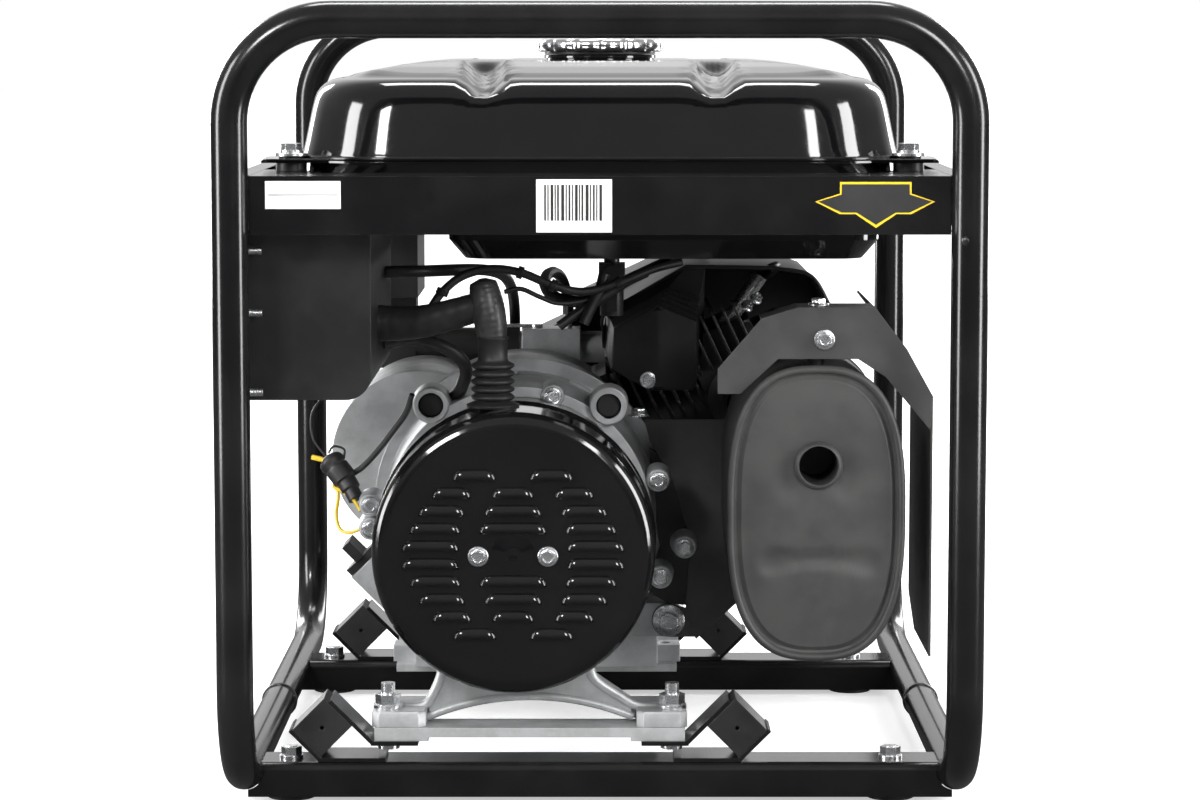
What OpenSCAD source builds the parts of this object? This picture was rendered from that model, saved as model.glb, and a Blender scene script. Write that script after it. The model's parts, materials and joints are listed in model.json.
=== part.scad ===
// Portable generator: an open tube frame that carries a steel fuel tank, an air-cooled
// single-cylinder engine with a brushed alternator on rubber mounts, a silencer beside
// the alternator and a control box. Millimetres.
// +X is the silencer side, -X the control panel side, -Y the alternator end, +Z is up.
// The origin is on the floor under the middle of the frame.

/* [Overall size] */
// Width over the frame tubes
frame_w = 530; // [520:5:640]
// Length over the two end hoops
frame_l = 680; // [670:5:820]
// Height from the floor to the top of the hoops
frame_h = 566; // [562:2:680]

/* [Frame] */
// Outside diameter of the frame tube
tube_d = 25.4; // [22:0.2:30.6]
// Wall of the frame tube
tube_wall = 1.8; // [1.2:0.1:3]
// Bend radius of the hoops' top corners, on the tube's centre line
hoop_bend_r = 70; // [50:1:90]
// Bend radius of the hoops' feet, on the tube's centre line
foot_bend_r = 70; // [50:1:90]
// Height of the lower tubes above the floor
tube_lift = 9; // [6:0.5:14]
// Width of the folded crossbars
bar_w = 45; // [38:1:54]
// Thickness of the folded steel in crossbars and rails
fold_t = 2.5; // [1.5:0.1:3]
// Height of the crossbars' lower edges above the floor
bar_lift = 4; // [3:0.5:8]
// Height of the crossbars' top faces above the floor
bar_top = 28.3; // [26:0.1:34]
// Distance from the middle to the rubber feet on the silencer side
foot_right = 208; // [150:1:214]
// Distance from the middle to the rubber feet on the panel side
foot_left = 221; // [218:1:222]
// Diameter of the rubber feet
foot_d = 34; // [24:1:37]

/* [Engine bed] */
// Place of the bed's middle across the frame
bed_x = -50; // [-60:1:-30]
// Place of the alternator mounts along the frame
alternator_mount_y = -245; // [-250:1:-240]
// Place of the engine mounts along the frame
engine_mount_y = 158.5; // [150:0.5:165]
// Height of the bed above the crossbars
mount_h = 14.9; // [12:0.1:20]
// Half distance between the two mount bolts of a crossbar
mount_bolt_x = 101.5; // [95:0.5:104]
// Thickness of the rubber in an isolator
isolator_t = 32; // [26:1:34]
// Thickness of the isolator plates
isolator_plate_t = 3; // [2:0.5:4]
// Diameter of the mount bolts
mount_bolt_d = 10; // [8:1:12]

/* [Fuel tank] */
// Width of the tank's body
tank_w = 428; // [400:2:440]
// Length of the tank's body
tank_l = 524; // [500:2:560]
// Height of the upper shell above the seam
tank_rise = 62; // [40:1:66]
// Depth of the deep part below the seam
tank_drop = 73; // [60:1:90]
// Plan radius of the tank's corners
tank_corner_r = 75; // [60:1:75]
// Steel thickness of the tank
tank_t = 1.2; // [0.8:0.1:2]
// Diameter of the filler neck
neck_d = 80; // [60:1:84]
// Diameter of the fuel cap
cap_d = 96; // [92:1:106]

/* [Alternator] */
// Place of the crankshaft across the frame
shaft_x = -61; // [-64:0.5:-56]
// Height of the crankshaft above the engine bed
shaft_h = 137.3; // [132:0.1:142]
// Outside radius of the pressed end cover
cover_r = 99.8; // [98:0.1:103]
// Depth of the end cover
cover_depth = 70; // [60:1:80]
// Front face of the end cover along the frame
cover_y = -285; // [-290:1:-283]
// Outside radius of the stator core
stator_r = 92; // [88:0.5:93]
// Air gap between rotor and stator
air_gap = 1; // [0.4:0.1:2]
// Row pitch of the louvres
louvre_pitch = 12.5; // [11:0.1:13.5]

/* [Engine] */
// Cylinder bore
bore_d = 88; // [80:1:92]
// Piston stroke
stroke = 64; // [56:1:66]
// Tilt of the cylinder above the horizontal
cylinder_tilt = 25; // [22:1:28]
// Middle of the cylinder along the frame
cylinder_y = 65; // [62:1:68]
// Pitch of the cooling fins
fin_pitch = 9; // [8:0.5:10]
// Radius of the recoil starter's rope pulley
pulley_r = 60; // [50:1:64]

/* [Silencer] */
// Width of the oval silencer
silencer_w = 128; // [100:1:130]
// Height of the oval silencer
silencer_h = 213; // [180:1:216]
// Length of the silencer
silencer_l = 190; // [160:1:194]
// Place of the silencer's middle across the frame
silencer_x = 154.7; // [152:0.1:158]
// Height of the silencer's middle above the engine bed
silencer_z = 159; // [156:1:164]
// Bore of the exhaust outlet
outlet_d = 28; // [22:1:34]

/* [Control box] */
// Depth of the control box from its panel
box_w = 91; // [80:1:100]
// Height of the control box
box_h = 117; // [106:1:122]
// Length of the control box along the frame
box_l = 232; // [220:1:250]
// Sheet thickness of the control box
box_t = 1.2; // [0.8:0.1:2]

/* [Hidden] */

// Gaps and clearances
weld_gap = 0.2;          // between parts that weld beads join
seat_gap = 0.3;          // between curved or soft parts that touch
run_gap = 0.05;          // radial, between a shaft and its bore
bolt_gap = 0.4;          // radial, between a bolt and its hole
$fn = 48;

// Frame lines
tube_r = tube_d / 2;
tube_x = frame_w / 2 - tube_r;
tube_y = frame_l / 2 - tube_r;
tube_top_z = frame_h - tube_r;
tube_low_z = tube_lift + tube_r;
bar_h = bar_top - bar_lift;
bar_edge_r = 6;
hole_m8 = 8 + 2 * bolt_gap;

// Tank rails hang a fixed distance below the hoops' top
rail_h = 40;
rail_top = frame_h - 118.6;
rail_low = rail_top - rail_h;
rail_flange = 55;
seam_z = rail_top + 7.6;
seam_t = 3;
seam_lip = 8;
tank_bolt_x = 218;
tank_bolt_y = 235;
tank_bolt_d = 8;
ear_w = 22;

// Engine bed
bed_z = bar_top + mount_h;
bed_half = 110.5;
alternator_bed_t = 9.5;
engine_bed_t = 6;
mount_depth = 38;
shaft_z = bed_z + shaft_h;
dead_centre_lift = stroke / 2;

// Alternator stations along the shaft
stator_y0 = -190;
stator_y1 = -95;
cover_back = cover_y + cover_depth;
rotor_r = stator_r - 30 - air_gap;
bearing_52_y = -214;
cover_screw_x = 24.5;
bell_y1 = -6.3;

// Engine stations along the shaft
case_y0 = 8;
case_y1 = 126;
case_cover_t = 14;
cam_x = -80;
cam_z = 34.5;
case_r = 108;
cam_case_r = 68;
case_wall = 7;
web_r = 50;
journal_r = 17.5;
bearing_72_r = 36;
deck_s = 92;
head_s = 165;
head_t = 50;
fin_half = 74;
fin_half_y = 55;
fan_y0 = 170;
fan_y1 = 250;
recoil_depth = 52;
recoil_r = 94;

// Control box lines
box_x = -tube_x + 2.3;
box_y0 = -tube_y + 37;
box_top = rail_low - seat_gap;
box_low = box_top - box_h;
panel_t = 2.5;

steel_black = [0.05, 0.05, 0.055];
tank_black = [0.03, 0.03, 0.035];
zinc = [0.75, 0.76, 0.78];
alloy = [0.66, 0.67, 0.68];
heat_grey = [0.28, 0.28, 0.28];
rubber_black = [0.04, 0.04, 0.04];

// ---------- shared shapes ----------

// A rectangle with round corners, centred
module rounded(w, h, r) {
    square([w, h - 2 * r], center = true);
    square([w - 2 * r, h], center = true);
    for (x = [-1, 1], y = [-1, 1])
        translate([x * (w / 2 - r), y * (h / 2 - r)]) circle(r);
}

// An outline in X and Z, from y0 to y1
module plate_y(y0, y1)
    translate([0, y1, 0]) rotate([90, 0, 0]) linear_extrude(y1 - y0) children();

// An outline in Y and Z, from x0 to x1
module plate_x(x0, x1)
    translate([x0, 0, 0]) rotate([90, 0, 90]) linear_extrude(x1 - x0) children();

// A ring about the crankshaft, from y0 to y1
module shaft_ring(y0, y1, outer, inner) plate_y(y0, y1)
    translate([shaft_x, shaft_z]) difference() {
        circle(outer);
        if (inner > 0) circle(inner);
    }

// Children placed at the middle of the crank, z along the cylinder
module on_cylinder()
    translate([shaft_x, cylinder_y, shaft_z]) rotate([0, 90 - cylinder_tilt, 0]) children();

// A point at distance s along the cylinder and n across it
function cyl_x(s, n) = shaft_x + s * cos(cylinder_tilt) - n * sin(cylinder_tilt);
function cyl_z(s, n) = shaft_z + s * sin(cylinder_tilt) + n * cos(cylinder_tilt);

module hex(across, h) cylinder(d = across / cos(30), h = h, $fn = 6);

// A bolt with a flanged hexagon head that sits on z = 0
module flange_bolt(d, l) {
    translate([0, 0, -l]) cylinder(d = d, h = l + 0.1 * d);
    cylinder(d = 2.1 * d, h = 0.25 * d);
    translate([0, 0, 0.25 * d]) hex(1.6 * d, 0.6 * d);
}

// A flanged nut that sits on z = 0
module flange_nut(d) difference() {
    union() {
        cylinder(d = 2.1 * d, h = 0.25 * d);
        translate([0, 0, 0.25 * d]) hex(1.6 * d, 0.75 * d);
    }
    translate([0, 0, -1]) cylinder(r = d / 2 + run_gap, h = 2 * d);
}

// A round cable along points, as one swept skin
function unit(v) = v / norm(v);
function tangent(p, i) = i < 2 ? unit(p[1] - p[0]) : i > len(p) - 3 ? unit(p[len(p) - 1] - p[len(p) - 2])
    : unit(p[i + 1] - p[i - 1]);
function side_of(t) = unit(cross(t, abs(t[2]) > 0.9 ? [0, 1, 0] : [0, 0, 1]));
module cable(points, d, sides = 8) {
    ring = [for (i = [0 : len(points) - 1]) let (t = tangent(points, i), u = side_of(t), v = cross(t, u))
        for (k = [0 : sides - 1])
            points[i] + d / 2 * (cos(360 * k / sides) * u + sin(360 * k / sides) * v)];
    n = len(points);
    polyhedron(ring, concat(
        [[for (k = [0 : sides - 1]) k]],
        [for (i = [0 : n - 2], k = [0 : sides - 1])
            [i * sides + k, (i + 1) * sides + k, (i + 1) * sides + (k + 1) % sides, i * sides + (k + 1) % sides]],
        [[for (k = [sides - 1 : -1 : 0]) (n - 1) * sides + k]]));
}

// Points on a smooth curve from a to b that leaves along u and arrives along v
function curve(a, u, v, b, n = 14) = concat([a], [a + 0.5 * unit(u)],
    [for (i = [1 : n - 1]) let (t = i / n, k = 1 - t)
        k * k * k * a + 3 * k * k * t * (a + u) + 3 * k * t * t * (b - v) + t * t * t * b],
    [b - 0.5 * unit(v)], [b]);

// ---------- frame ----------

module pipe(l) difference() {
    cylinder(r = tube_r, h = l);
    translate([0, 0, -1]) cylinder(r = tube_r - tube_wall, h = l + 2);
}

// A quarter bend, from +X to +Y about the origin
module pipe_bend(r) rotate_extrude(angle = 90) translate([r, 0]) difference() {
    circle(tube_r);
    circle(tube_r - tube_wall);
}

// Half of a hoop at the -Y end: from the butt weld at y = 0 to the top corner
module half_hoop() {
    foot_y = tube_y - foot_bend_r;
    translate([-tube_x, 0, tube_low_z]) rotate([90, 0, 0]) pipe(foot_y);
    translate([-tube_x, -foot_y, tube_low_z + foot_bend_r])
        rotate([0, 90, 0]) rotate([0, 0, -90]) pipe_bend(foot_bend_r);
    translate([-tube_x, -tube_y, tube_low_z + foot_bend_r])
        pipe(tube_top_z - hoop_bend_r - tube_low_z - foot_bend_r);
    translate([hoop_bend_r - tube_x, -tube_y, tube_top_z - hoop_bend_r])
        rotate([90, 0, 0]) rotate([0, 0, 90]) pipe_bend(hoop_bend_r);
}

module hoop() {
    for (side = [0, 1]) mirror([side, 0, 0]) half_hoop();
    translate([hoop_bend_r - tube_x, -tube_y, tube_top_z])
        rotate([0, 90, 0]) pipe(2 * (tube_x - hoop_bend_r));
}

module alternator_end_hoop() color(steel_black) hoop();

module recoil_end_hoop() color(steel_black) mirror([0, 1, 0]) hoop();

// Space that the two lower tubes take, with the weld gap
module lower_tubes() for (x = [-tube_x, tube_x])
    translate([x, 0, tube_low_z]) rotate([90, 0, 0])
        cylinder(r = tube_r + weld_gap, h = 2 * tube_y, center = true);

module crossbar(y) difference() {
    plate_x(2 - tube_x, tube_x - 2) translate([y, bar_lift + bar_h / 2]) difference() {
        rounded(bar_w, bar_h, bar_edge_r);
        rounded(bar_w - 2 * fold_t, bar_h - 2 * fold_t, bar_edge_r - fold_t);
        translate([-bar_w / 2, -bar_h / 2]) square([bar_w, fold_t + bar_edge_r]);
    }
    lower_tubes();
    for (x = [-foot_left, foot_right]) translate([x, y, 0]) cylinder(d = hole_m8, h = bar_top + 1);
}

// The web of a crossbar below its rounded edges
module crossbar_skirt(y) difference() {
    plate_x(2 - tube_x, tube_x - 2) for (side = [-1, 1])
        translate([y + side * (bar_w - fold_t) / 2 - fold_t / 2, bar_lift])
            square([fold_t, fold_t + bar_edge_r]);
    lower_tubes();
}

module crossbars() color(steel_black) for (y = [alternator_mount_y, engine_mount_y]) {
    crossbar(y);
    crossbar_skirt(y);
}

// The plan of the tank's body, grown by extra
module tank_plan(extra)
    rounded(tank_w + 2 * extra, tank_l + 2 * extra, tank_corner_r + extra);

// The rail at the -Y end: a front web, a top flange and two ears under the tank's bolts
module end_rail() {
    inner_x = tube_x - tube_r - weld_gap;
    difference() {
        union() {
            translate([-inner_x, -tube_y, rail_low]) cube([2 * inner_x, fold_t, rail_h]);
            translate([0, 0, rail_top - fold_t]) linear_extrude(fold_t) difference() {
                union() {
                    translate([-inner_x, -tube_y]) square([2 * inner_x, rail_flange]);
                    for (side = [0, 1]) mirror([side, 0])
                        translate([-inner_x, -tube_y]) square([inner_x - tank_bolt_x + ear_w,
                            tube_y - tank_bolt_y + ear_w]);
                }
                tank_plan(4);
            }
        }
        for (x = [-tank_bolt_x, tank_bolt_x]) translate([x, -tank_bolt_y, rail_top - 2 * fold_t])
            cylinder(r = tank_bolt_d / 2 + bolt_gap, h = 3 * fold_t);
    }
}

module tank_rails() color(steel_black) for (far = [0, 1]) mirror([0, far, 0]) end_rail();

// Two side rails, angle section, outside the end rails' ears
module side_rails() color(steel_black) for (side = [0, 1]) mirror([side, 0, 0]) {
    l = 2 * (tube_y - tube_r - weld_gap);
    translate([-tube_x - fold_t / 2, -l / 2, rail_low]) cube([fold_t, l, rail_h]);
    translate([-tube_x - fold_t / 2, -l / 2, rail_top - fold_t])
        cube([tube_r + fold_t / 2 - weld_gap / 2, l, fold_t]);
}

module rubber_feet() color(rubber_black) for (y = [alternator_mount_y, engine_mount_y])
    for (x = [-foot_left, foot_right]) translate([x, y, 0]) difference() {
        cylinder(d = foot_d, h = bar_top - fold_t);
        translate([0, 0, -1]) cylinder(d = hole_m8, h = bar_top);
        translate([0, 0, -1]) cylinder(d = 18, h = 11);
    }

module foot_bolts() for (y = [alternator_mount_y, engine_mount_y])
    for (x = [-foot_left, foot_right]) translate([x, y, 0]) {
        translate([0, 0, 10 - seat_gap]) rotate([180, 0, 0]) flange_bolt(8, 27);
        translate([0, 0, bar_top]) flange_nut(8);
    }

// ---------- isolators ----------

// Outline of the slope's frame: x runs up the slope, y away from the bar, from the bend
slope_u = bed_half + seat_gap + sqrt(2) * (2 * isolator_plate_t + isolator_t) - bed_z + bar_top;
module on_slope() translate([slope_u, bar_top]) rotate(45) children();
top_plate_off = isolator_plate_t + isolator_t;
top_plate_x = (mount_h - isolator_plate_t - top_plate_off * cos(45)) / sin(45);

module each_isolator() for (y = [alternator_mount_y, engine_mount_y], side = [0, 1])
    translate([bed_x, 0, 0]) mirror([side, 0, 0])
        plate_y(y - mount_depth / 2, y + mount_depth / 2) children();

module isolator_base_plates() each_isolator() {
    translate([slope_u - 47, bar_top]) square([48, isolator_plate_t]);
    on_slope() square([31, isolator_plate_t]);
}

module isolator_rubbers() color(rubber_black) difference() {
    each_isolator() on_slope() translate([2, isolator_plate_t]) square([28, isolator_t]);
    each_isolator() on_slope() translate([16, isolator_plate_t + isolator_t / 2]) circle(1.5);
}

module isolator_top_plates() difference() {
    each_isolator() {
        bend_u = slope_u + top_plate_x * cos(45) - top_plate_off * sin(45);
        translate([mount_bolt_x - 22, bed_z - isolator_plate_t])
            square([bend_u + 1 - mount_bolt_x + 22, isolator_plate_t]);
        on_slope() translate([top_plate_x, top_plate_off]) square([44, isolator_plate_t]);
    }
    mount_bolt_holes();
}

module isolator_plates() color(steel_black) {
    isolator_base_plates();
    isolator_top_plates();
}

module mount_bolt_holes() for (y = [alternator_mount_y, engine_mount_y], side = [-1, 1])
    translate([bed_x + side * mount_bolt_x, y, bar_top + 2])
        cylinder(r = mount_bolt_d / 2 + bolt_gap, h = 60);

alternator_foot_t = 11.8;
module mount_bolts() for (side = [-1, 1]) {
    x = bed_x + side * mount_bolt_x;
    stacks = [[alternator_mount_y, alternator_bed_t + alternator_foot_t], [engine_mount_y, engine_bed_t]];
    for (s = stacks) translate([x, s[0], bed_z]) {
        translate([0, 0, -isolator_plate_t]) rotate([180, 0, 0]) cylinder(d = 16, h = 5);
        translate([0, 0, -isolator_plate_t - 0.1]) cylinder(d = mount_bolt_d, h = s[1] + 21);
        translate([0, 0, s[1]]) flange_nut(mount_bolt_d);
    }
}

module bed_bolts() color(zinc) {
    foot_bolts();
    mount_bolts();
}

module alternator_bed_plate() difference() {
    translate([bed_x - bed_half, alternator_mount_y - 17, bed_z])
        cube([2 * bed_half, 34, alternator_bed_t]);
    translate([bed_x - 72, alternator_mount_y - 18, bed_z - 1]) cube([144, 36, 3.8]);
    mount_bolt_holes();
}

module engine_bed_plate() difference() {
    translate([bed_x - bed_half, case_y0, bed_z])
        cube([2 * bed_half, engine_mount_y + mount_depth / 2 - case_y0, engine_bed_t]);
    mount_bolt_holes();
    case_bolt_holes(bed_z - 1);
}

module bed_plates() color(zinc) {
    alternator_bed_plate();
    engine_bed_plate();
}

// ---------- fuel tank ----------

// One level of a tank shell: the plan shrunk by inset, t thick
module tank_level(z, inset, t = 0.5)
    translate([0, 0, z]) linear_extrude(t) tank_plan(-inset);

module tank_dome(shrink) hull() {
    tank_level(seam_z, shrink);
    tank_level(seam_z + tank_rise * 0.7, 7 + shrink);
    tank_level(seam_z + tank_rise * 0.88 - shrink, 24 + shrink);
    translate([0, 0, seam_z + tank_rise - 0.5 - shrink])
        linear_extrude(0.5) rounded(tank_w * 0.5, tank_l * 0.7, 40);
}

module tank_upper_shell() color(tank_black) {
    difference() {
        union() {
            tank_dome(0);
            tank_seam(seam_z);
        }
        translate([0, 0, -0.4]) tank_dome(tank_t);
        translate([0, 0, seam_z - 1]) cylinder(d = neck_d, h = tank_rise + 2);
        tank_bolt_holes();
    }
    filler_neck();
}

// Half of the seam's flange, with the corner tabs that take the bolts
module tank_seam(z) translate([0, 0, z]) linear_extrude(seam_t / 2) {
    tank_plan(seam_lip);
    for (x = [-1, 1], y = [-1, 1])
        translate([x * (tank_bolt_x - 22), y * (tank_bolt_y - 22)])
            square([42 + 42, 42 + 42 - 6], center = true);
}

module tank_bolt_holes() for (x = [-tank_bolt_x, tank_bolt_x], y = [-tank_bolt_y, tank_bolt_y])
    translate([x, y, rail_top - 10]) cylinder(r = tank_bolt_d / 2 + bolt_gap, h = 40);

// The lower shell: a shallow tray with a deep part towards +X and a small sump under it
deep_x0 = -113;
deep_y = 408;
shallow_drop = 40;
module tank_tray(shrink) {
    hull() {
        translate([0, 0, seam_z - 0.5]) linear_extrude(0.5) rounded(tank_w - 4 - 2 * shrink,
            tank_l - 8 - 2 * shrink, tank_corner_r - shrink);
        translate([0, 0, seam_z - 18 + shrink]) linear_extrude(0.5)
            rounded(tank_w - 6 - 2 * shrink, 2 * tube_y - 2 * rail_flange - 10 - 40 - 2 * shrink, 40);
    }
    hull() {
        translate([0, 0, seam_z - 20 + shrink]) linear_extrude(4)
            rounded(tank_w - 12 - 2 * shrink, deep_y - 2 * shrink, 40);
        translate([0, 0, seam_z - shallow_drop + shrink]) linear_extrude(0.5)
            rounded(tank_w - 30 - 2 * shrink, deep_y - 20 - 2 * shrink, 40);
    }
    hull() {
        deep_w = tank_w / 2 - 8.5 - deep_x0;
        translate([deep_x0 + deep_w / 2, 0, seam_z - 22]) linear_extrude(0.5)
            rounded(deep_w - 6 - 2 * shrink, deep_y - 8 - 2 * shrink, 24);
        translate([deep_x0 + deep_w / 2, 0, seam_z - tank_drop + 14 + shrink]) linear_extrude(0.5)
            rounded(deep_w - 7 - 2 * shrink, deep_y - 9 - 2 * shrink, 24);
        translate([deep_x0 + deep_w / 2, 0, seam_z - tank_drop + shrink]) linear_extrude(0.5)
            rounded(deep_w - 30 - 2 * shrink, deep_y - 30 - 2 * shrink, 20);
    }
}

module tank_lower_shell() color(tank_black) difference() {
    union() {
        tank_tray(0);
        tank_seam(seam_z - seam_t / 2);
    }
    translate([0, 0, 0.6]) tank_tray(tank_t);
    tank_bolt_holes();
}

neck_top = seam_z + tank_rise + 11;
module filler_neck() translate([0, 0, neck_top]) rotate([180, 0, 0])
    rotate_extrude() polygon([[neck_d / 2 - 5, 0], [neck_d / 2 + 3, 0], [neck_d / 2 + 3, 3],
        [neck_d / 2 + 1, 3], [neck_d / 2 + 1, 14], [neck_d / 2, 14], [neck_d / 2, 21],
        [neck_d / 2 - 5, 21]]);

bush_h = seam_z - seam_t / 2 - rail_top;
module tank_bushes() color(rubber_black)
    for (x = [-tank_bolt_x, tank_bolt_x], y = [-tank_bolt_y, tank_bolt_y])
        translate([x, y, 0]) {
            translate([0, 0, rail_top]) difference() {
                cylinder(d = 22, h = bush_h);
                translate([0, 0, -1]) cylinder(r = tank_bolt_d / 2 + bolt_gap, h = bush_h + 2);
            }
            translate([0, 0, seam_z + seam_t / 2]) difference() {
                cylinder(d = 18, h = 1.5);
                translate([0, 0, -1]) cylinder(r = tank_bolt_d / 2 + bolt_gap, h = 4);
            }
        }

module tank_bolts() color(zinc)
    for (x = [-tank_bolt_x, tank_bolt_x], y = [-tank_bolt_y, tank_bolt_y])
        translate([x, y, seam_z + seam_t / 2 + 1.5]) {
            cylinder(d = 24, h = 2);
            translate([0, 0, 2]) flange_bolt(tank_bolt_d, 24);
            translate([0, 0, rail_top - fold_t - seam_z - seam_t / 2 - 1.5])
                rotate([180, 0, 0]) flange_nut(tank_bolt_d);
        }

// The cap: a knurled disc with a skirt round the neck's rim and a vented crown
cap_t = 11;
lobes = 16;
module fuel_cap() color([0.8, 0.8, 0.82]) translate([0, 0, neck_top + 2]) difference() {
    union() {
        cylinder(d = cap_d - 3, h = cap_t - 3);
        translate([0, 0, cap_t - 3]) cylinder(d = cap_d - 14, h = 3);
        for (k = [0 : lobes - 1]) rotate(360 * k / lobes)
            translate([cap_d / 2 - 6, 0, 0]) cylinder(r = 6, h = cap_t - 4);
    }
    translate([0, 0, -1]) cylinder(d = neck_d + 7, h = 4);
}

module cap_gasket() color(rubber_black) translate([0, 0, neck_top + 0.3]) difference() {
    cylinder(d = neck_d + 5, h = 4.4);
    translate([0, 0, -1]) cylinder(d = neck_d - 9, h = 6);
}

tap_x = 9;
tap_y = -62;
tap_z = seam_z - tank_drop - 11;
module fuel_tap() color(steel_black) difference() {
    union() {
        translate([tap_x, tap_y, tap_z]) cylinder(r = 6, h = 11 - seat_gap);
        translate([tap_x - 10, tap_y - 9, tap_z - 16]) cube([20, 18, 16]);
        translate([tap_x, tap_y, tap_z - 40]) cylinder(r = 9, h = 24);
        translate([tap_x - 6, tap_y, tap_z - 30]) rotate([0, -90, 0]) cylinder(r = 3, h = 15);
    }
    translate([tap_x, tap_y - 3, tap_z - 8]) rotate([90, 0, 0]) cylinder(r = 3 + run_gap, h = 8);
}

// The tap's lever turns about Y on the near face of the tap
module fuel_tap_lever() color(rubber_black) translate([tap_x, tap_y - 9.3, tap_z - 8]) {
    rotate([90, 0, 0]) cylinder(r = 7, h = 4);
    translate([0, 6, 0]) rotate([90, 0, 0]) cylinder(r = 3, h = 6.1);
    translate([-4, -4, -28]) cube([8, 4, 26]);
}

// ---------- engine ----------

// The crankcase in X and Z, shrunk by inset
module case_outline(inset) {
    difference() {
        union() {
            translate([shaft_x, shaft_z]) circle(case_r - inset);
            translate([shaft_x + cam_x, shaft_z + cam_z]) circle(cam_case_r - inset);
            translate([bed_x - 95 + inset, bed_z + engine_bed_t + inset]) square([190 - 2 * inset, 58]);
            translate([shaft_x, shaft_z - 80]) square([122 - inset, 95]);
        }
        translate([shaft_x, shaft_z]) rotate(cylinder_tilt) translate([deck_s - inset, -150]) square(300);
    }
    translate([shaft_x, shaft_z]) rotate(cylinder_tilt)
        translate([0, inset - 62]) square([deck_s + (inset > 0 ? 1 : 0), 124 - 2 * inset]);
}

case_foot_y = [32, 108];
module case_bolt_holes(z) for (y = case_foot_y, side = [-1, 1])
    translate([bed_x + side * mount_bolt_x, y, z]) cylinder(r = 4 + bolt_gap, h = 30);

module case_feet() for (y = case_foot_y, side = [0, 1]) translate([bed_x, 0, 0]) mirror([side, 0, 0])
    translate([mount_bolt_x - 15, y - 12, bed_z + engine_bed_t]) cube([27, 24, 13]);

// The shell is open at its -Y side, where the cover closes it
oil_y = 34;
oil_l = 78;
oil_tilt = -45;
oil_foot = [bed_x - 80, oil_y, shaft_z - 108];
housing_bosses = [[-73, 73], [-73, -73], [73, -73]];
module crankcase() color(alloy) difference() {
    union() {
        plate_y(case_y0, case_y1) case_outline(0);
        case_feet();
        translate(oil_foot) rotate([0, oil_tilt, 0]) cylinder(r = 18, h = oil_l);
        for (b = housing_bosses) translate([shaft_x + b[0], case_y1 - 1, shaft_z + b[1]])
            rotate([-90, 0, 0]) cylinder(r = 7, h = fan_y0 - weld_gap - case_y1 + 1);
    }
    plate_y(case_y0 - 1, case_y1 - 8) case_outline(case_wall);
    shaft_ring(case_y1 - 9, case_y1 + 1, journal_r + 3, 0);
    translate([shaft_x + cam_x, case_y1 - 9, shaft_z + cam_z]) rotate([-90, 0, 0])
        cylinder(r = 10 + run_gap, h = 5);
    translate(oil_foot) rotate([0, oil_tilt, 0]) cylinder(r = 12, h = oil_l + 2);
    case_bolt_holes(bed_z);
}

lug = [53, bed_z + 50];
module lug_outline() {
    translate(lug) circle(13);
    translate([lug[0] - 33, lug[1] - 13]) square([33, 26]);
}

module crankcase_cover() color(alloy) difference() {
    union() {
        plate_y(case_y0 - case_cover_t, case_y0 - seat_gap / 3) {
            case_outline(0);
            difference() {
                translate([shaft_x, shaft_z]) circle(114);
                translate([shaft_x, shaft_z]) rotate(cylinder_tilt) translate([deck_s, -60]) square(120);
            }
            lug_outline();
        }
        plate_y(bracket_y1 + weld_gap, 0) lug_outline();
        shaft_ring(case_y0 - 1, 26, bearing_72_r + 8, 0);
    }
    shaft_ring(9, 27, bearing_72_r + run_gap, 0);
    shaft_ring(-10, 10, journal_r + 3, 0);
    translate([shaft_x + cam_x, case_y0 - 5, shaft_z + cam_z]) rotate([-90, 0, 0])
        cylinder(r = 10 + run_gap, h = 6);
    translate([lug[0], 0, lug[1]]) rotate([90, 0, 0]) cylinder(r = 4 + bolt_gap, h = 120, center = true);
    shaft_ring(bracket_y1 - 1, -6, 114, 0);
}

module cylinder_barrel() color(steel_black) {
    on_cylinder() difference() {
        union() {
            translate([0, 0, deck_s + seat_gap / 3]) cylinder(r = 55, h = head_s - deck_s - seat_gap / 3);
            translate([-62, -56, deck_s + seat_gap / 3]) cube([124, 112, 9]);
            for (k = [0 : floor((head_s - deck_s - 14) / fin_pitch)])
                translate([-fin_half, -fin_half_y, deck_s + 14 + k * fin_pitch])
                    cube([2 * fin_half, 2 * fin_half_y, 2.6]);
        }
        translate([0, 0, deck_s - 1]) cylinder(d = bore_d, h = head_s);
    }
}

head_port_s = head_s + 25;
module cylinder_head() color(steel_black) on_cylinder() difference() {
    union() {
        translate([-58, -56, head_s + seat_gap / 3]) cube([116, 112, head_t - seat_gap / 3]);
        for (k = [0 : 3]) translate([-fin_half, -56, head_s + 3 + k * fin_pitch])
            cube([2 * fin_half, 112, 2.6]);
    }
    translate([0, 0, head_s - 1]) cylinder(r = bore_d / 2 - 6, h = 9);
    translate([0, -50, head_port_s]) rotate([90, 0, 0]) cylinder(r = 14 + seat_gap, h = 20);
    translate([-intake_n, 70, head_port_s]) rotate([90, 0, 0]) cylinder(r = 11, h = 30);
    plug_place() translate([0, 0, -16]) cylinder(r = 7 + seat_gap, h = 40);
}

intake_n = 30;
plug_y = -24;
module plug_place() translate([-57, plug_y, head_s + 42]) rotate([0, -30, 0]) children();

module rocker_cover() color(steel_black) on_cylinder() translate([0, 0, head_s + head_t + 0.1]) difference() {
    union() {
        linear_extrude(6) rounded(104, 96, 16);
        translate([0, 0, 6]) linear_extrude(22) rounded(92, 84, 18);
    }
    translate([0, 0, -1]) linear_extrude(26) rounded(86, 78, 15);
}

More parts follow.
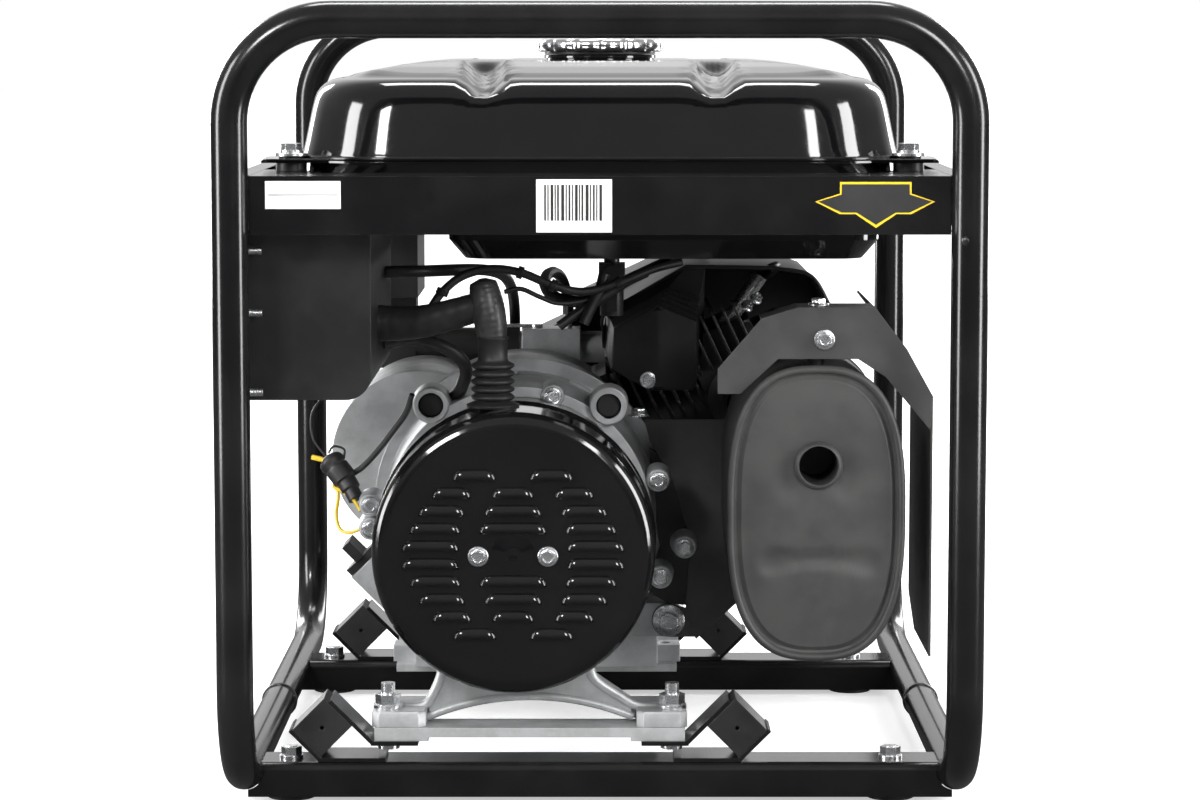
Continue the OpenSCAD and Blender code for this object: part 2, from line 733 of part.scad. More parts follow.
// Piston at top dead centre. The rod keeps the crank pin; the crankshaft runs clear of it
rod_l = 108;
module piston() color(alloy) on_cylinder() difference() {
    translate([0, 0, dead_centre_lift + rod_l - 28]) cylinder(r = bore_d / 2 - run_gap, h = 51);
    translate([0, 0, dead_centre_lift + rod_l - 29]) cylinder(r = bore_d / 2 - 6, h = 45);
    translate([0, 50, dead_centre_lift + rod_l]) rotate([90, 0, 0]) cylinder(r = 9 + run_gap, h = 100);
}

module connecting_rod() color(alloy) on_cylinder() {
    translate([0, 12, dead_centre_lift]) rotate([90, 0, 0]) cylinder(r = 24, h = 24);
    translate([-9, -5, dead_centre_lift + 20]) cube([18, 10, rod_l - 34]);
    translate([0, 11, dead_centre_lift + rod_l]) rotate([90, 0, 0]) cylinder(r = 15, h = 22);
    translate([0, bore_d / 2 - 1, dead_centre_lift + rod_l]) rotate([90, 0, 0])
        cylinder(r = 9, h = bore_d - 2);
}

web_gap = 13;
web_t = 15;
module crankshaft() color(zinc) {
    shaft_ring(-86, cylinder_y - web_gap - web_t, journal_r, 0);
    shaft_ring(cylinder_y - web_gap - web_t, cylinder_y - web_gap, web_r, 0);
    shaft_ring(27, 35, 29, 0);
    shaft_ring(cylinder_y + web_gap, cylinder_y + web_gap + web_t, web_r, 0);
    shaft_ring(cylinder_y + web_gap + web_t, case_y1 + 8, journal_r, 0);
    shaft_ring(case_y1 + 8, fan_y0 + 56, 12, 0);
}

// Half-speed shaft with its gear and two lobes
module camshaft() color(zinc) translate([shaft_x + cam_x, 0, shaft_z + cam_z]) rotate([-90, 0, 0]) {
    translate([0, 0, case_y0 - 4]) cylinder(r = 10, h = case_y1 - case_y0 - seat_gap);
    translate([0, 0, 27]) cylinder(r = 57.5, h = 8);
    for (k = [0, 1]) translate([0, 0, 52 + 24 * k]) rotate(110 * k) {
        cylinder(r = 15, h = 12);
        translate([8, 0, 0]) cylinder(r = 11, h = 12);
    }
}

module flywheel() color([0.35, 0.35, 0.36]) {
    difference() {
        union() {
            shaft_ring(fan_y0 + 6, fan_y0 + 38, 96, 0);
            for (k = [0 : 17]) translate([shaft_x, fan_y0 + 38, shaft_z]) rotate([0, 20 * k, 0])
                translate([62, 0, -1.5]) cube([32, 22, 3]);
            shaft_ring(fan_y0 + 38, fan_y0 + 46, 40, 0);
        }
        shaft_ring(fan_y0 + 12, fan_y0 + 39, 84, 44);
        shaft_ring(fan_y0, fan_y1, 12 + run_gap, 0);
    }
    shaft_ring(fan_y0 + 46, fan_y0 + 62, 36, 31);
    shaft_ring(fan_y0 + 46, fan_y0 + 50, 31, 12 + run_gap);
}

// Blower housing: a scroll round the flywheel with a duct towards the cylinder
module fan_outline(inset) {
    translate([shaft_x, shaft_z]) circle(112 - inset);
    translate([shaft_x, shaft_z]) rotate(cylinder_tilt) translate([95 + inset, 8 + inset])
        square([120 - 2 * inset, 107 - 2 * inset]);
    translate([shaft_x, shaft_z]) rotate(cylinder_tilt) translate([30, 8 + inset])
        square([80, 94 - 2 * inset]);
}

module fan_housing() color(steel_black) {
    difference() {
        plate_y(fan_y0, fan_y1) fan_outline(0);
        plate_y(fan_y0 - 1, fan_y1 - 1.6) fan_outline(1.6);
        shaft_ring(fan_y1 - 3, fan_y1 + 1, 82, 0);
    }
    difference() {
        shaft_ring(fan_y0, fan_y0 + 1.6, 111, 98.5);
        translate([shaft_x, fan_y0 - 1, shaft_z]) rotate([0, -cylinder_tilt, 0])
            translate([0, 0, 10]) cube([200, 4, 90]);
    }
}

rope_z = pulley_r;
recoil_y0 = fan_y1 + 0.2;
rope_y = recoil_y0 + 24;
module recoil_housing() color(steel_black) {
    recoil_shell();
    recoil_post();
}

module recoil_shell() difference() {
    union() {
        shaft_ring(recoil_y0, recoil_y0 + 3, recoil_r + 10, 0);
        shaft_ring(recoil_y0 + 3, recoil_y0 + recoil_depth, recoil_r, 0);
        translate([shaft_x - recoil_r - 8, rope_y - 12, shaft_z + rope_z - 12]) cube([60, 24, 24]);
    }
    shaft_ring(recoil_y0 - 1, recoil_y0 + recoil_depth - 2, recoil_r - 3, 0);
    for (k = [0 : 15]) translate([shaft_x, recoil_y0 + recoil_depth, shaft_z]) rotate([0, 22.5 * k, 0])
        translate([38, -6, -3]) cube([40, 12, 6]);
    translate([shaft_x - recoil_r - 9, rope_y, shaft_z + rope_z]) rotate([0, 90, 0]) cylinder(r = 6, h = 62);
}

// The post that the pulley turns on
module recoil_post() shaft_ring(rope_y - 17, recoil_y0 + recoil_depth - 1, 8, 0);

// The pulley turns on a post of the recoil housing
module recoil_pulley() color([0.12, 0.12, 0.13]) difference() {
    union() {
        shaft_ring(rope_y - 8, rope_y - 4, pulley_r + 6, 0);
        shaft_ring(rope_y - 4, rope_y + 4, pulley_r - 4, 0);
        shaft_ring(rope_y + 4, rope_y + 8, pulley_r + 6, 0);
        shaft_ring(rope_y - 14, rope_y + 14, 16, 0);
    }
    shaft_ring(rope_y - 15, rope_y + 15, 8 + run_gap, 0);
}

grip_x = shaft_x - recoil_r - 8 - 14 - seat_gap;
grip_half = 36;
module starter_grip() color([0.05, 0.05, 0.05]) translate([grip_x, rope_y, shaft_z + rope_z]) {
    rotate([0, 90, 0]) cylinder(r = 9, h = 14);
    translate([-8, -grip_half, -9]) cube([12, 2 * grip_half, 18]);
}

module starter_rope() color([0.8, 0.8, 0.78]) translate([grip_x + 14, rope_y, shaft_z + rope_z])
    rotate([0, 90, 0]) cylinder(r = 2.2, h = shaft_x - grip_x - 14);

module dipstick() color([0.06, 0.06, 0.06]) translate(oil_foot) rotate([0, oil_tilt, 0])
    translate([0, 0, oil_l]) {
        translate([0, 0, seat_gap]) cylinder(r = 17, h = 6);
        translate([0, 0, -16]) cylinder(r = 12 - seat_gap, h = 16 + 2 * seat_gap);
        translate([0, 0, -40]) cylinder(r = 3, h = 25);
        translate([-4, -20, 6]) cube([8, 40, 16]);
    }

// Carburettor behind the crankcase, with the pipe that runs round to the head
carb_x = -40;
carb_y = 148;
carb_z = cyl_z(head_port_s, intake_n);
intake_x = cyl_x(head_port_s, intake_n);
pipe_gap_y = cylinder_y + 56 + seat_gap;
module carburettor() color(alloy) difference() {
    union() {
        translate([carb_x - 24, carb_y - 16, carb_z - 16]) cube([48, 32, 32]);
        translate([carb_x, carb_y, carb_z - 46]) cylinder(r = 18, h = 31);
        translate([carb_x - 36, carb_y, carb_z]) rotate([0, 90, 0]) cylinder(r = 13, h = 13);
        translate([carb_x + 23, carb_y, carb_z]) rotate([0, 90, 0])
            cylinder(r = 13, h = intake_x - carb_x - 23);
        translate([intake_x, carb_y, carb_z]) sphere(r = 13);
        translate([intake_x, carb_y, carb_z]) rotate([90, 0, 0])
            cylinder(r = 13, h = carb_y - pipe_gap_y);
        translate([carb_x + 14, carb_y - 8, carb_z + 15]) cylinder(r = 3, h = 12);
    }
    translate([carb_x - 60, carb_y, carb_z]) rotate([0, 90, 0]) cylinder(r = 9, h = intake_x - carb_x + 60);
    translate([intake_x, carb_y, carb_z]) rotate([90, 0, 0]) cylinder(r = 9, h = carb_y - 100);
    translate([carb_x - 12, carb_y, carb_z + 17]) rotate([180, 0, 0]) cylinder(r = 2.5 + run_gap, h = 12);
}

module choke_lever() color(zinc) translate([carb_x - 12, carb_y, carb_z + 16]) {
    translate([0, 0, -4]) cylinder(r = 2.5, h = 5);
    translate([0, 0, seat_gap]) cylinder(r = 5, h = 2.5);
    translate([-30, -3.5, seat_gap]) cube([30, 7, 2.5]);
}

// Air cleaner between the control box and the recoil end, with a neck down to its duct
air_x0 = -236;
air_x1 = -147;
air_y0 = 100;
air_z1 = seam_z - shallow_drop - 14;
air_h = 69;
module air_cleaner() color([0.04, 0.04, 0.045]) difference() {
    union() {
        translate([air_x0, air_y0, air_z1 - air_h]) cube([air_x1 - air_x0, 112, air_h]);
        translate([air_x1 - 33, carb_y - 16, carb_z - 16]) cube([30, 32, air_z1 - air_h - carb_z + 17]);
        translate([air_x1 - 4, carb_y, carb_z]) rotate([0, 90, 0])
            cylinder(r = 16, h = carb_x - 26 - air_x1 + 4);
    }
    translate([air_x1 - 20, carb_y, carb_z]) rotate([0, 90, 0]) cylinder(r = 13 + seat_gap, h = 160);
    translate([air_x0 + 2.5, air_y0 + 2.5, air_z1 - air_h + 2.5])
        cube([air_x1 - air_x0 - 5, 107, air_h - 5]);
}

// Sheet hood over the cylinder and head, with the pentagon end plate
hood_t = 1.5;
hood_path = [[4, 318], [4, 326], [66, 366.5], [150, 367.5], [180, 345]];
module hood_band(o) polygon(concat([for (p = hood_path) p], [for (i = [len(hood_path) - 1 : -1 : 0])
    hood_path[i] - [i < 2 ? -o : 0, i > 1 ? o : 0]]));
hood_front = -46;
module cylinder_hood() color(steel_black) translate([0, 0, shaft_z - 180.5]) {
    plate_y(hood_front, fan_y0 - weld_gap) hood_band(hood_t);
    plate_y(hood_front, hood_front + hood_t)
        polygon([[4, 290], [4, 326], [22, 337.7], [45, 341], [77, 327], [77, 271], [31, 271]]);
}

module spark_plug() color([0.9, 0.9, 0.88]) on_cylinder() plug_place() {
    translate([0, 0, -14]) cylinder(r = 7, h = 20);
    translate([0, 0, 6]) cylinder(r = 6, h = 36);
}

// Fuel hose from the tap to the carburettor's bowl
hose_a = [tap_x - 21 - 2 * seat_gap, tap_y, tap_z - 30];
hose_b = [carb_x + 14, carb_y - 8, carb_z + 27 + 2 * seat_gap];
module fuel_hose() color(rubber_black) cable(curve(hose_a, [-60, 0, 0], [0, 0, -70], hose_b, 24), 9);

// ---------- alternator ----------

module front_bracket() color(alloy) difference() {
    translate([shaft_x, 0, shaft_z]) rotate([-90, 0, 0]) rotate_extrude() polygon([
        [stator_r + 0.2, -103], [stator_r + 8, -103], [stator_r + 12, -62], [stator_r + 12, -20],
        [114, -20], [114, bell_y1], [100, bell_y1], [stator_r + 6, -56], [stator_r + 0.2, -64]]);
    for (a = [20 : 40 : 340]) translate([shaft_x, 0, shaft_z]) rotate([0, a, 0])
        translate([stator_r, -50, -16]) cube([30, 24, 32]);
}

// The end bracket's legs stand on the bed plate; a drum holds the stator and a hub the bearing
module leg_outline() {
    leg_top = bed_z + alternator_bed_t;
    difference() {
        polygon([[bed_x - bed_half, leg_top], [bed_x - bed_half, leg_top + alternator_foot_t],
            [bed_x - bed_half + 38, leg_top + alternator_foot_t], [shaft_x - 54, leg_top + 32],
            [shaft_x - 54, shaft_z - 40], [shaft_x + 54, shaft_z - 40], [shaft_x + 54, leg_top + 32],
            [bed_x + bed_half - 38, leg_top + alternator_foot_t],
            [bed_x + bed_half, leg_top + alternator_foot_t], [bed_x + bed_half, leg_top]]);
        translate([bed_x, leg_top + 16 - 187]) circle(187, $fn = 180);
    }
}

module rear_bracket() color(alloy) difference() {
    union() {
        difference() {
            plate_y(-238, -203) leg_outline();
            for (side = [-1, 1])
                translate([bed_x + side * (bed_half - 19) - 19, alternator_mount_y - 16, bed_z + alternator_bed_t])
                    cube([38, 34, alternator_foot_t]);
            shaft_ring(alternator_mount_y - 20, cover_back + 1, cover_r + 1, 0);
            shaft_ring(cover_back, -200, stator_r, 0);
        }
        shaft_ring(-222, stator_y0 + 4, stator_r + 5, stator_r + 0.2);
        shaft_ring(-222, -214, stator_r + 3, 0);
        shaft_ring(-222, -199, 31, 0);
        for (side = [-1, 1]) translate([shaft_x + side * cover_screw_x, cover_y + 1.5, shaft_z])
            rotate([-90, 0, 0]) cylinder(r = 6, h = -222 - cover_y);
    }
    shaft_ring(-215, -198, 26 + run_gap, 0);
    shaft_ring(-223, -210, 20, 0);
    for (a = [0 : 45 : 315]) translate([shaft_x, 0, shaft_z]) rotate([0, a, 0])
        translate([46, -224, -11]) cube([34, 14, 22]);
    mount_bolt_holes();
}

module stator_core() color([0.3, 0.3, 0.32]) shaft_ring(stator_y0, stator_y1, stator_r, stator_r - 30);

module stator_windings() color([0.62, 0.3, 0.12]) {
    shaft_ring(stator_y0 - 15, stator_y0 - 0.1, 85, 65);
    shaft_ring(stator_y1 + 0.1, stator_y1 + 15, 85, 65);
}

module rotor() color([0.4, 0.4, 0.42]) {
    difference() {
        union() {
            shaft_ring(-186, -100, rotor_r, 0);
            shaft_ring(-197, -186, 40, 0);
            shaft_ring(-198, -60, 24, 0);
        }
        shaft_ring(-87, -59, journal_r + run_gap, 0);
    }
    shaft_ring(-214, -198, 12.5, 0);
    shaft_ring(-226, -214, 12.5, 0);
    shaft_ring(-246, -226, 16, 0);
    shaft_ring(-76, -72, 86, 24);
    for (k = [0 : 11]) translate([shaft_x, -72, shaft_z]) rotate([0, 30 * k, 0])
        translate([52, 0, -1.2]) cube([33, 14, 2.4]);
}

module bearings() color([0.7, 0.7, 0.72]) {
    shaft_ring(-214, -199.2, 26, 12.5 + run_gap);
    shaft_ring(9.1, 25.9, bearing_72_r, journal_r + run_gap);
    shaft_ring(case_y1 - 8, case_y1, journal_r + 3 - run_gap, journal_r + run_gap);
}

module brush_holder() color([0.08, 0.08, 0.08]) {
    translate([shaft_x - 9, -248, shaft_z + 16.3]) cube([18, 24, 26]);
    translate([shaft_x - 34, -262, shaft_z + 42]) cube([68, 39.9, 34]);
}

// Pressed end cover with rows of louvres and two flanged bolts
cover_t = 1.2;
louvre_rows = [[-27, 27], [-43, 0, 43], [-50, 0, 50], [-54.7, 0, 54.7], [-58, 58]];
louvre_lens = [[30, 30], [27, 29, 27], [32, 40, 32], [35.5, 47, 35.5], [40, 40]];
module end_cover() color(tank_black) {
    difference() {
        translate([shaft_x, cover_back, shaft_z]) rotate([90, 0, 0]) rotate_extrude() polygon(concat(
            [[cover_r - cover_t, 0], [cover_r, 0]],
            [for (a = [0 : 15 : 90]) [cover_r - 10 + 10 * cos(a), cover_depth - 10 + 10 * sin(a)]],
            [[0, cover_depth], [0, cover_depth - cover_t]],
            [for (a = [90 : -15 : 0]) [cover_r - 10 + (10 - cover_t) * cos(a),
                cover_depth - 10 + (10 - cover_t) * sin(a)]]));
        for (row = [0 : 4], up = [-1, 1], k = [0 : len(louvre_rows[row]) - 1])
            translate([shaft_x + louvre_rows[row][k] - louvre_lens[row][k] / 2 + 3, cover_y - 1,
                shaft_z + up * (4.5 - row) * louvre_pitch - 3])
                cube([louvre_lens[row][k] - 6, 5, 4]);
        for (side = [-1, 1]) translate([shaft_x + side * cover_screw_x, cover_y, shaft_z])
            rotate([90, 0, 0]) cylinder(r = 3.4, h = 8, center = true);
    }
}

// ---------- silencer ----------

// The oval outline from its half axes, fuller than an ellipse
oval_power = 0.73;
module oval(hw, hh, n = 56) polygon([for (k = [0 : n - 1]) let (a = 360 * k / n)
    [hw * pow(abs(cos(a)), oval_power) * sign(cos(a)), hh * pow(abs(sin(a)), oval_power) * sign(sin(a))]]);

silencer_y1 = -45;
silencer_y0 = silencer_y1 - silencer_l;
silencer_cz = bed_z + silencer_z;
outlet_up = 35;
outlet_x = silencer_x + 1.3;
head_x = cyl_x(head_port_s, 0);
head_z = cyl_z(head_port_s, 0);
head_face_y = cylinder_y - 56;
module silencer() color(heat_grey) difference() {
    union() {
        silencer_slice(silencer_y0 + 8, silencer_y1, 3);
        silencer_slice(silencer_y0 + 5, silencer_y0 + 9, 0);
        silencer_slice(silencer_y0, silencer_y0 + 6, 9);
        translate([head_x, head_face_y + 4, head_z]) rotate([90, 0, 0])
            cylinder(r = 14, h = head_face_y + 4 - silencer_y1 + 1);
        translate([head_x, head_face_y - seat_gap, head_z]) rotate([90, 0, 0]) cylinder(r = 26, h = 5);
    }
    difference() {
        union() {
            silencer_slice(silencer_y0 + 7, silencer_y1 - 1.5, 5);
            silencer_slice(silencer_y0 + 1.5, silencer_y0 + 8, 11);
        }
        translate([outlet_x, silencer_y0, silencer_cz + outlet_up]) rotate([-90, 0, 0])
            cylinder(d = outlet_d + 3, h = 60);
    }
    translate([outlet_x, silencer_y0 - 1, silencer_cz + outlet_up]) rotate([-90, 0, 0])
        cylinder(d = outlet_d, h = 62);
    translate([head_x, head_face_y + 5, head_z]) rotate([90, 0, 0])
        cylinder(r = 12, h = head_face_y + 10 - silencer_y1);
}

// The silencer's outline, shrunk by inset, from y0 to y1
module silencer_slice(y0, y1, inset) plate_y(y0, y1) translate([silencer_x, silencer_cz])
    oval(silencer_w / 2 - inset, silencer_h / 2 - inset);

shield_post_y = -207;
roof_y1 = -190;
module silencer_shield() color(heat_grey) translate([0, 0, silencer_cz - 202.2]) {
    plate_y(-228, -226.5) polygon([[84, 306], [84, 288], [100, 288], [127, 313], [184, 313], [204, 300],
        [236, 262], [238, 286], [219, 320], [196, 350], [141, 350], [115, 342]]);
    plate_y(-227, roof_y1) polygon([[115, 342], [141, 350], [196, 350], [195.2, 348.5], [141.2, 348.5],
        [115, 340.4]]);
    plate_y(-227, -60) polygon([[196, 350], [219, 320], [238, 286], [238, 150], [236.5, 150],
        [236.5, 285.6], [217.7, 319.3], [195.2, 348.5]]);
    plate_x(236.5, 238) polygon([[-227, 151], [-60, 151], [-60, 120], [-110, 98], [-227, 98]]);
    translate([silencer_x, shield_post_y, 202.2 + silencer_h / 2 - 3 + seat_gap])
        cylinder(r = 6, h = 349 - 202.2 - silencer_h / 2 + 3 - seat_gap);
}

bracket_y1 = silencer_y1 + weld_gap + 3;
module silencer_bracket() color(heat_grey) difference() {
    plate_y(bracket_y1 - 3, bracket_y1) translate([0, lug[1] - 93]) {
        polygon([[34, 249], [116, 249], [122, 235], [122, 150], [107, 108], [74, 78], [66, 102],
            [70, 154], [56, 202], [38, 233]]);
        translate([lug[0], 93]) circle(13);
        polygon([[lug[0], 80], [76, 80], [72, 101], [lug[0], 106]]);
    }
    translate([lug[0], -30, lug[1]]) rotate([90, 0, 0]) cylinder(r = 4 + bolt_gap, h = 40);
    translate([head_x, -30, head_z]) rotate([90, 0, 0]) cylinder(r = 14 + seat_gap, h = 40);
    shaft_ring(bracket_y1 - 5, bracket_y1 + 1, stator_r + 15, 0);
}

// ---------- control box ----------

module control_box() color(steel_black) {
    plate_y(box_y0, box_y0 + box_l) translate([box_x, box_low]) difference() {
        box_outline(0);
        box_outline(box_t);
    }
    for (y = [box_y0, box_y0 + box_l - box_t])
        plate_y(y, y + box_t) translate([box_x, box_low]) box_outline(0);
    tab_y = tube_r - tube_y + weld_gap;
    translate([box_x + 1, tab_y, box_low]) cube([2, box_y0 - tab_y + 1, box_h]);
}

// The box in X and Z, open towards its panel, its lower inner corner rounded
box_corner_r = 18;
module box_outline(inset) difference() {
    open = inset > 0 ? 1 : 0;
    translate([-open, inset]) square([box_w - inset + open, box_h - 2 * inset]);
    translate([box_w - box_corner_r, 0]) difference() {
        translate([0, -1]) square([box_corner_r + 1, box_corner_r + 1]);
        translate([0, box_corner_r]) circle(box_corner_r - inset);
    }
}

panel_x = box_x - panel_t - 0.1;
socket_r = 23.5;
socket_z = box_low + 44;
socket_step = 66;
flange_t = 4.4;
flange_x = panel_x - flange_t - 0.1;
switch_y = box_y0 + box_l - 34;
switch_z = box_low + 84;
breaker_y = box_y0 + box_l - 34;
breaker_z = box_low + 40;
rockers = [[switch_y, switch_z, 8, 12], [breaker_y, breaker_z, 6, 14]];
function socket_y(k) = box_y0 + 40 + socket_step * k;

module control_panel() color([0.07, 0.07, 0.075]) {
    difference() {
        union() {
            translate([panel_x, box_y0 - 6, box_low - 4]) cube([panel_t, box_l + 12, box_h + 4]);
            for (h = rockers) translate([panel_x + panel_t - 0.1, h[0] - h[2] - 2, h[1] - h[3] - 2])
                cube([20, 2 * h[2] + 4, 2 * h[3] + 4]);
        }
        for (k = [0, 1]) translate([panel_x - 1, socket_y(k), socket_z]) rotate([0, 90, 0])
            cylinder(r = socket_r + seat_gap, h = 10);
        // wells of the switch and the breaker, in their housings behind the panel
        for (h = rockers) {
            translate([panel_x - 1, h[0] - h[2], h[1] - h[3]]) cube([19, 2 * h[2], 2 * h[3]]);
            translate([pivot_x, h[0] - h[2] - 1.7, h[1]]) rotate([-90, 0, 0])
                cylinder(r = 1.5 + run_gap, h = 2 * h[2] + 3.4);
        }
    }
    // earth stud
    translate([panel_x + 1, box_y0 + box_l - 8, box_low + 8]) rotate([0, -90, 0]) cylinder(r = 3, h = 13);
}

module sockets() color([0.08, 0.16, 0.35]) for (k = [0, 1]) translate([0, socket_y(k), socket_z]) {
    difference() {
        union() {
            translate([flange_x, 0, 0]) plate_x(0, flange_t) rounded(54, 56, 6);
            translate([flange_x + 1, 0, 0]) rotate([0, 90, 0]) cylinder(r = socket_r, h = 36);
        }
        translate([flange_x - 1, 0, 0]) rotate([0, 90, 0]) cylinder(r = socket_r - 4, h = 18);
    }
    for (side = [-1, 1]) translate([hinge_x - 2.5, side * 17 - 2, lid_hinge_z - 3]) cube([5, 4, 6]);
    translate([hinge_x, -17, lid_hinge_z]) rotate([-90, 0, 0]) cylinder(r = 1.2, h = 34);
    for (a = [90, 210, 330]) translate([flange_x + 5, 8 * cos(a), 8 * sin(a)])
        rotate([0, 90, 0]) cylinder(r = 2.2, h = 13);
}

// Spring lids, each on a pin along Y above its socket
hinge_x = flange_x - 2.4;
lid_hinge_z = 25;
module socket_lid(k) color([0.1, 0.2, 0.42]) translate([hinge_x, socket_y(k), socket_z]) difference() {
    union() {
        translate([-1.1, 0, 0]) plate_x(0, 2) rounded(46, 46, 16);
        translate([-1.1, -14, 14]) cube([2, 28, lid_hinge_z - 14]);
        translate([0, -14, lid_hinge_z]) rotate([-90, 0, 0]) cylinder(r = 2.3, h = 28);
    }
    translate([0, -20, lid_hinge_z]) rotate([-90, 0, 0]) cylinder(r = 1.2 + run_gap, h = 40);
}

module socket_lid_near() socket_lid(0);

module socket_lid_far() socket_lid(1);

// Rocker of the engine switch, at rest with its lower half pressed in
pivot_x = panel_x + 3;
module engine_switch() color([0.6, 0.05, 0.04]) translate([pivot_x, switch_y, switch_z]) {
    rotate([0, -9, 0]) translate([-6, -7, -9.5]) cube([8, 14, 19]);
    translate([0, -9, 0]) rotate([-90, 0, 0]) cylinder(r = 1.5, h = 18);
}

// Toggle of the breaker, at rest pointing down
module breaker() color([0.04, 0.04, 0.04]) translate([pivot_x, breaker_y, breaker_z]) {
    rotate([-90, 0, 0]) translate([0, 0, -5]) cylinder(r = 4, h = 10);
    rotate([0, -22, 0]) translate([-10.5, -4, -2.5]) cube([9, 8, 5]);
    translate([0, -7.5, 0]) rotate([-90, 0, 0]) cylinder(r = 1.5, h = 15);
}

// Corrugated boot on top of the alternator
boot_x = shaft_x - 16;
boot_y = -235;
boot_z = shaft_z + cover_r;
module cable_boot() color(rubber_black) difference() {
    translate([boot_x, boot_y, boot_z]) rotate_extrude()
        polygon(concat([[0, -8], [15, -8], [15, 4]],
            [for (k = [0 : 5], c = [[11, 6], [14, 8], [14, 9.5], [11, 11.5]]) c - [0.4 * k, -5.5 * k + 1]],
            [[8, 40], [8, 50], [0, 50]]));
    shaft_ring(boot_y - 20, boot_y + 20, cover_r + seat_gap, 0);
}

box_side_x = box_x + box_w + seat_gap;
plug_tip = [cyl_x(head_s + 42 + 42 * cos(30), 57 + 21), cylinder_y + plug_y,
    cyl_z(head_s + 42 + 42 * cos(30), 57 + 21)];
plug_dir = [cos(cylinder_tilt + 30), 0, sin(cylinder_tilt + 30)];
module wiring() color([0.03, 0.03, 0.03]) {
    cable(curve([boot_x, boot_y, boot_z + 50 + seat_gap], [0, 0, 70], [-60, 0, 0],
        [box_side_x, boot_y + 24, box_low + 58], 20), 18, 10);
    cable(curve([box_side_x, box_y0 + 170, box_low + 78], [90, 0, 0], [0, 0, -70],
        [shaft_x - 10, fan_y0 + 30, shaft_z + 112 + seat_gap], 20), 9);
    cable(curve(plug_tip + 2 * seat_gap * plug_dir, 22 * plug_dir, [-40, 10, -20],
        [cyl_x(217, 60), fan_y0 + 30, cyl_z(217, 60)], 16), 7);
}

alternator_end_hoop();
recoil_end_hoop();
crossbars();
tank_rails();
side_rails();
rubber_feet();
bed_bolts();
isolator_plates();
isolator_rubbers();
bed_plates();
tank_lower_shell();
tank_upper_shell();
tank_bushes();
tank_bolts();
fuel_cap();
cap_gasket();
fuel_tap();
fuel_tap_lever();
fuel_hose();
crankcase();
crankcase_cover();
cylinder_barrel();
cylinder_head();
rocker_cover();
piston();
connecting_rod();
crankshaft();
camshaft();
flywheel();
fan_housing();
recoil_housing();
recoil_pulley();
starter_grip();
starter_rope();
dipstick();
carburettor();
choke_lever();
air_cleaner();
cylinder_hood();
spark_plug();
front_bracket();
rear_bracket();
stator_core();
stator_windings();
rotor();
bearings();
brush_holder();
end_cover();
cable_boot();
silencer();
silencer_shield();
silencer_bracket();
control_box();
control_panel();
sockets();
socket_lid_near();
socket_lid_far();
engine_switch();
breaker();
wiring();
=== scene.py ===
import json
import math

import bmesh
import bpy
from mathutils import Matrix, Vector


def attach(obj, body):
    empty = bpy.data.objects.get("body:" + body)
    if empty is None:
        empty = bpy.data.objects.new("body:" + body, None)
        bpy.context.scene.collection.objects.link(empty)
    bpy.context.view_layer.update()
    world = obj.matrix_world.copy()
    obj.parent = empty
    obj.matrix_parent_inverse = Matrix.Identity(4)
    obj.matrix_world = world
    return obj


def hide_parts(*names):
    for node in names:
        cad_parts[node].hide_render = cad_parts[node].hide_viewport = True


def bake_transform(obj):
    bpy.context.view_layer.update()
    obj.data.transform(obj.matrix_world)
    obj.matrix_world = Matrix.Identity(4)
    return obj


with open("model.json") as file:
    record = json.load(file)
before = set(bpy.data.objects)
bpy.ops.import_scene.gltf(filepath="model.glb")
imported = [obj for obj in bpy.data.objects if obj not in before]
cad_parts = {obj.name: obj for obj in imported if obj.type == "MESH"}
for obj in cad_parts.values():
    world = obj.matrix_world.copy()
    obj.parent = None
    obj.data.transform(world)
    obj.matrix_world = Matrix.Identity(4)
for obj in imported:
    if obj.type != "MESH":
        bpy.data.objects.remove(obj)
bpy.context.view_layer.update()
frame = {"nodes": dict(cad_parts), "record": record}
ROOT = "frame_body"
MM = 0.001

# ---- places shared by many pieces, in millimetres
SHAFT = (-61.0, 180.5)
COVER_FRONT = -285.0
RAIL_FACE = -327.3
SILENCER = (154.7, 202.2)
OUTLET = (156.0, 237.2)
BRACKET_FACE = -238.0
LEFT_LEG = ((-150, 62), (-127, 64.5), (-121, 71), (-115, 84), (-112, 98))
RIGHT_LEG = ((50, 62), (27, 64.5), (13, 72), (-4, 84), (-8, 98))
ARCH = (-50.0, -118.2, 189.4)
ROPE_LINE = (274.2, 240.5)
ROPE_ENDS = (-61.0, -163.3)
FLOOR_Z = -0.0006
FLOOR_REACH = 30.0


# ---- shader groups
def new_group(name, inputs, outputs):
    tree = bpy.data.node_groups.new(name, "ShaderNodeTree")
    for label, kind, value in inputs:
        tree.interface.new_socket(label, in_out="INPUT", socket_type=kind).default_value = value
    for label, kind in outputs:
        tree.interface.new_socket(label, in_out="OUTPUT", socket_type=kind)
    return tree, tree.nodes.new("NodeGroupInput"), tree.nodes.new("NodeGroupOutput")


def add(tree, kind, **settings):
    node = tree.nodes.new(kind)
    for key, value in settings.items():
        if key in node.inputs:
            node.inputs[key].default_value = value
        else:
            setattr(node, key, value)
    return node


def maths(tree, operation, a, b=None, clamp=False):
    node = tree.nodes.new("ShaderNodeMath")
    node.operation, node.use_clamp = operation, clamp
    for socket, value in zip(node.inputs, (a, b)):
        if value is None:
            continue
        if isinstance(value, (int, float)):
            socket.default_value = value
        else:
            tree.links.new(value, socket)
    return node.outputs[0]


def ramp(tree, value, low, high):
    node = tree.nodes.new("ShaderNodeMapRange")
    node.inputs["From Min"].default_value, node.inputs["From Max"].default_value = low, high
    node.interpolation_type = "SMOOTHSTEP"
    tree.links.new(value, node.inputs["Value"])
    return node.outputs[0]


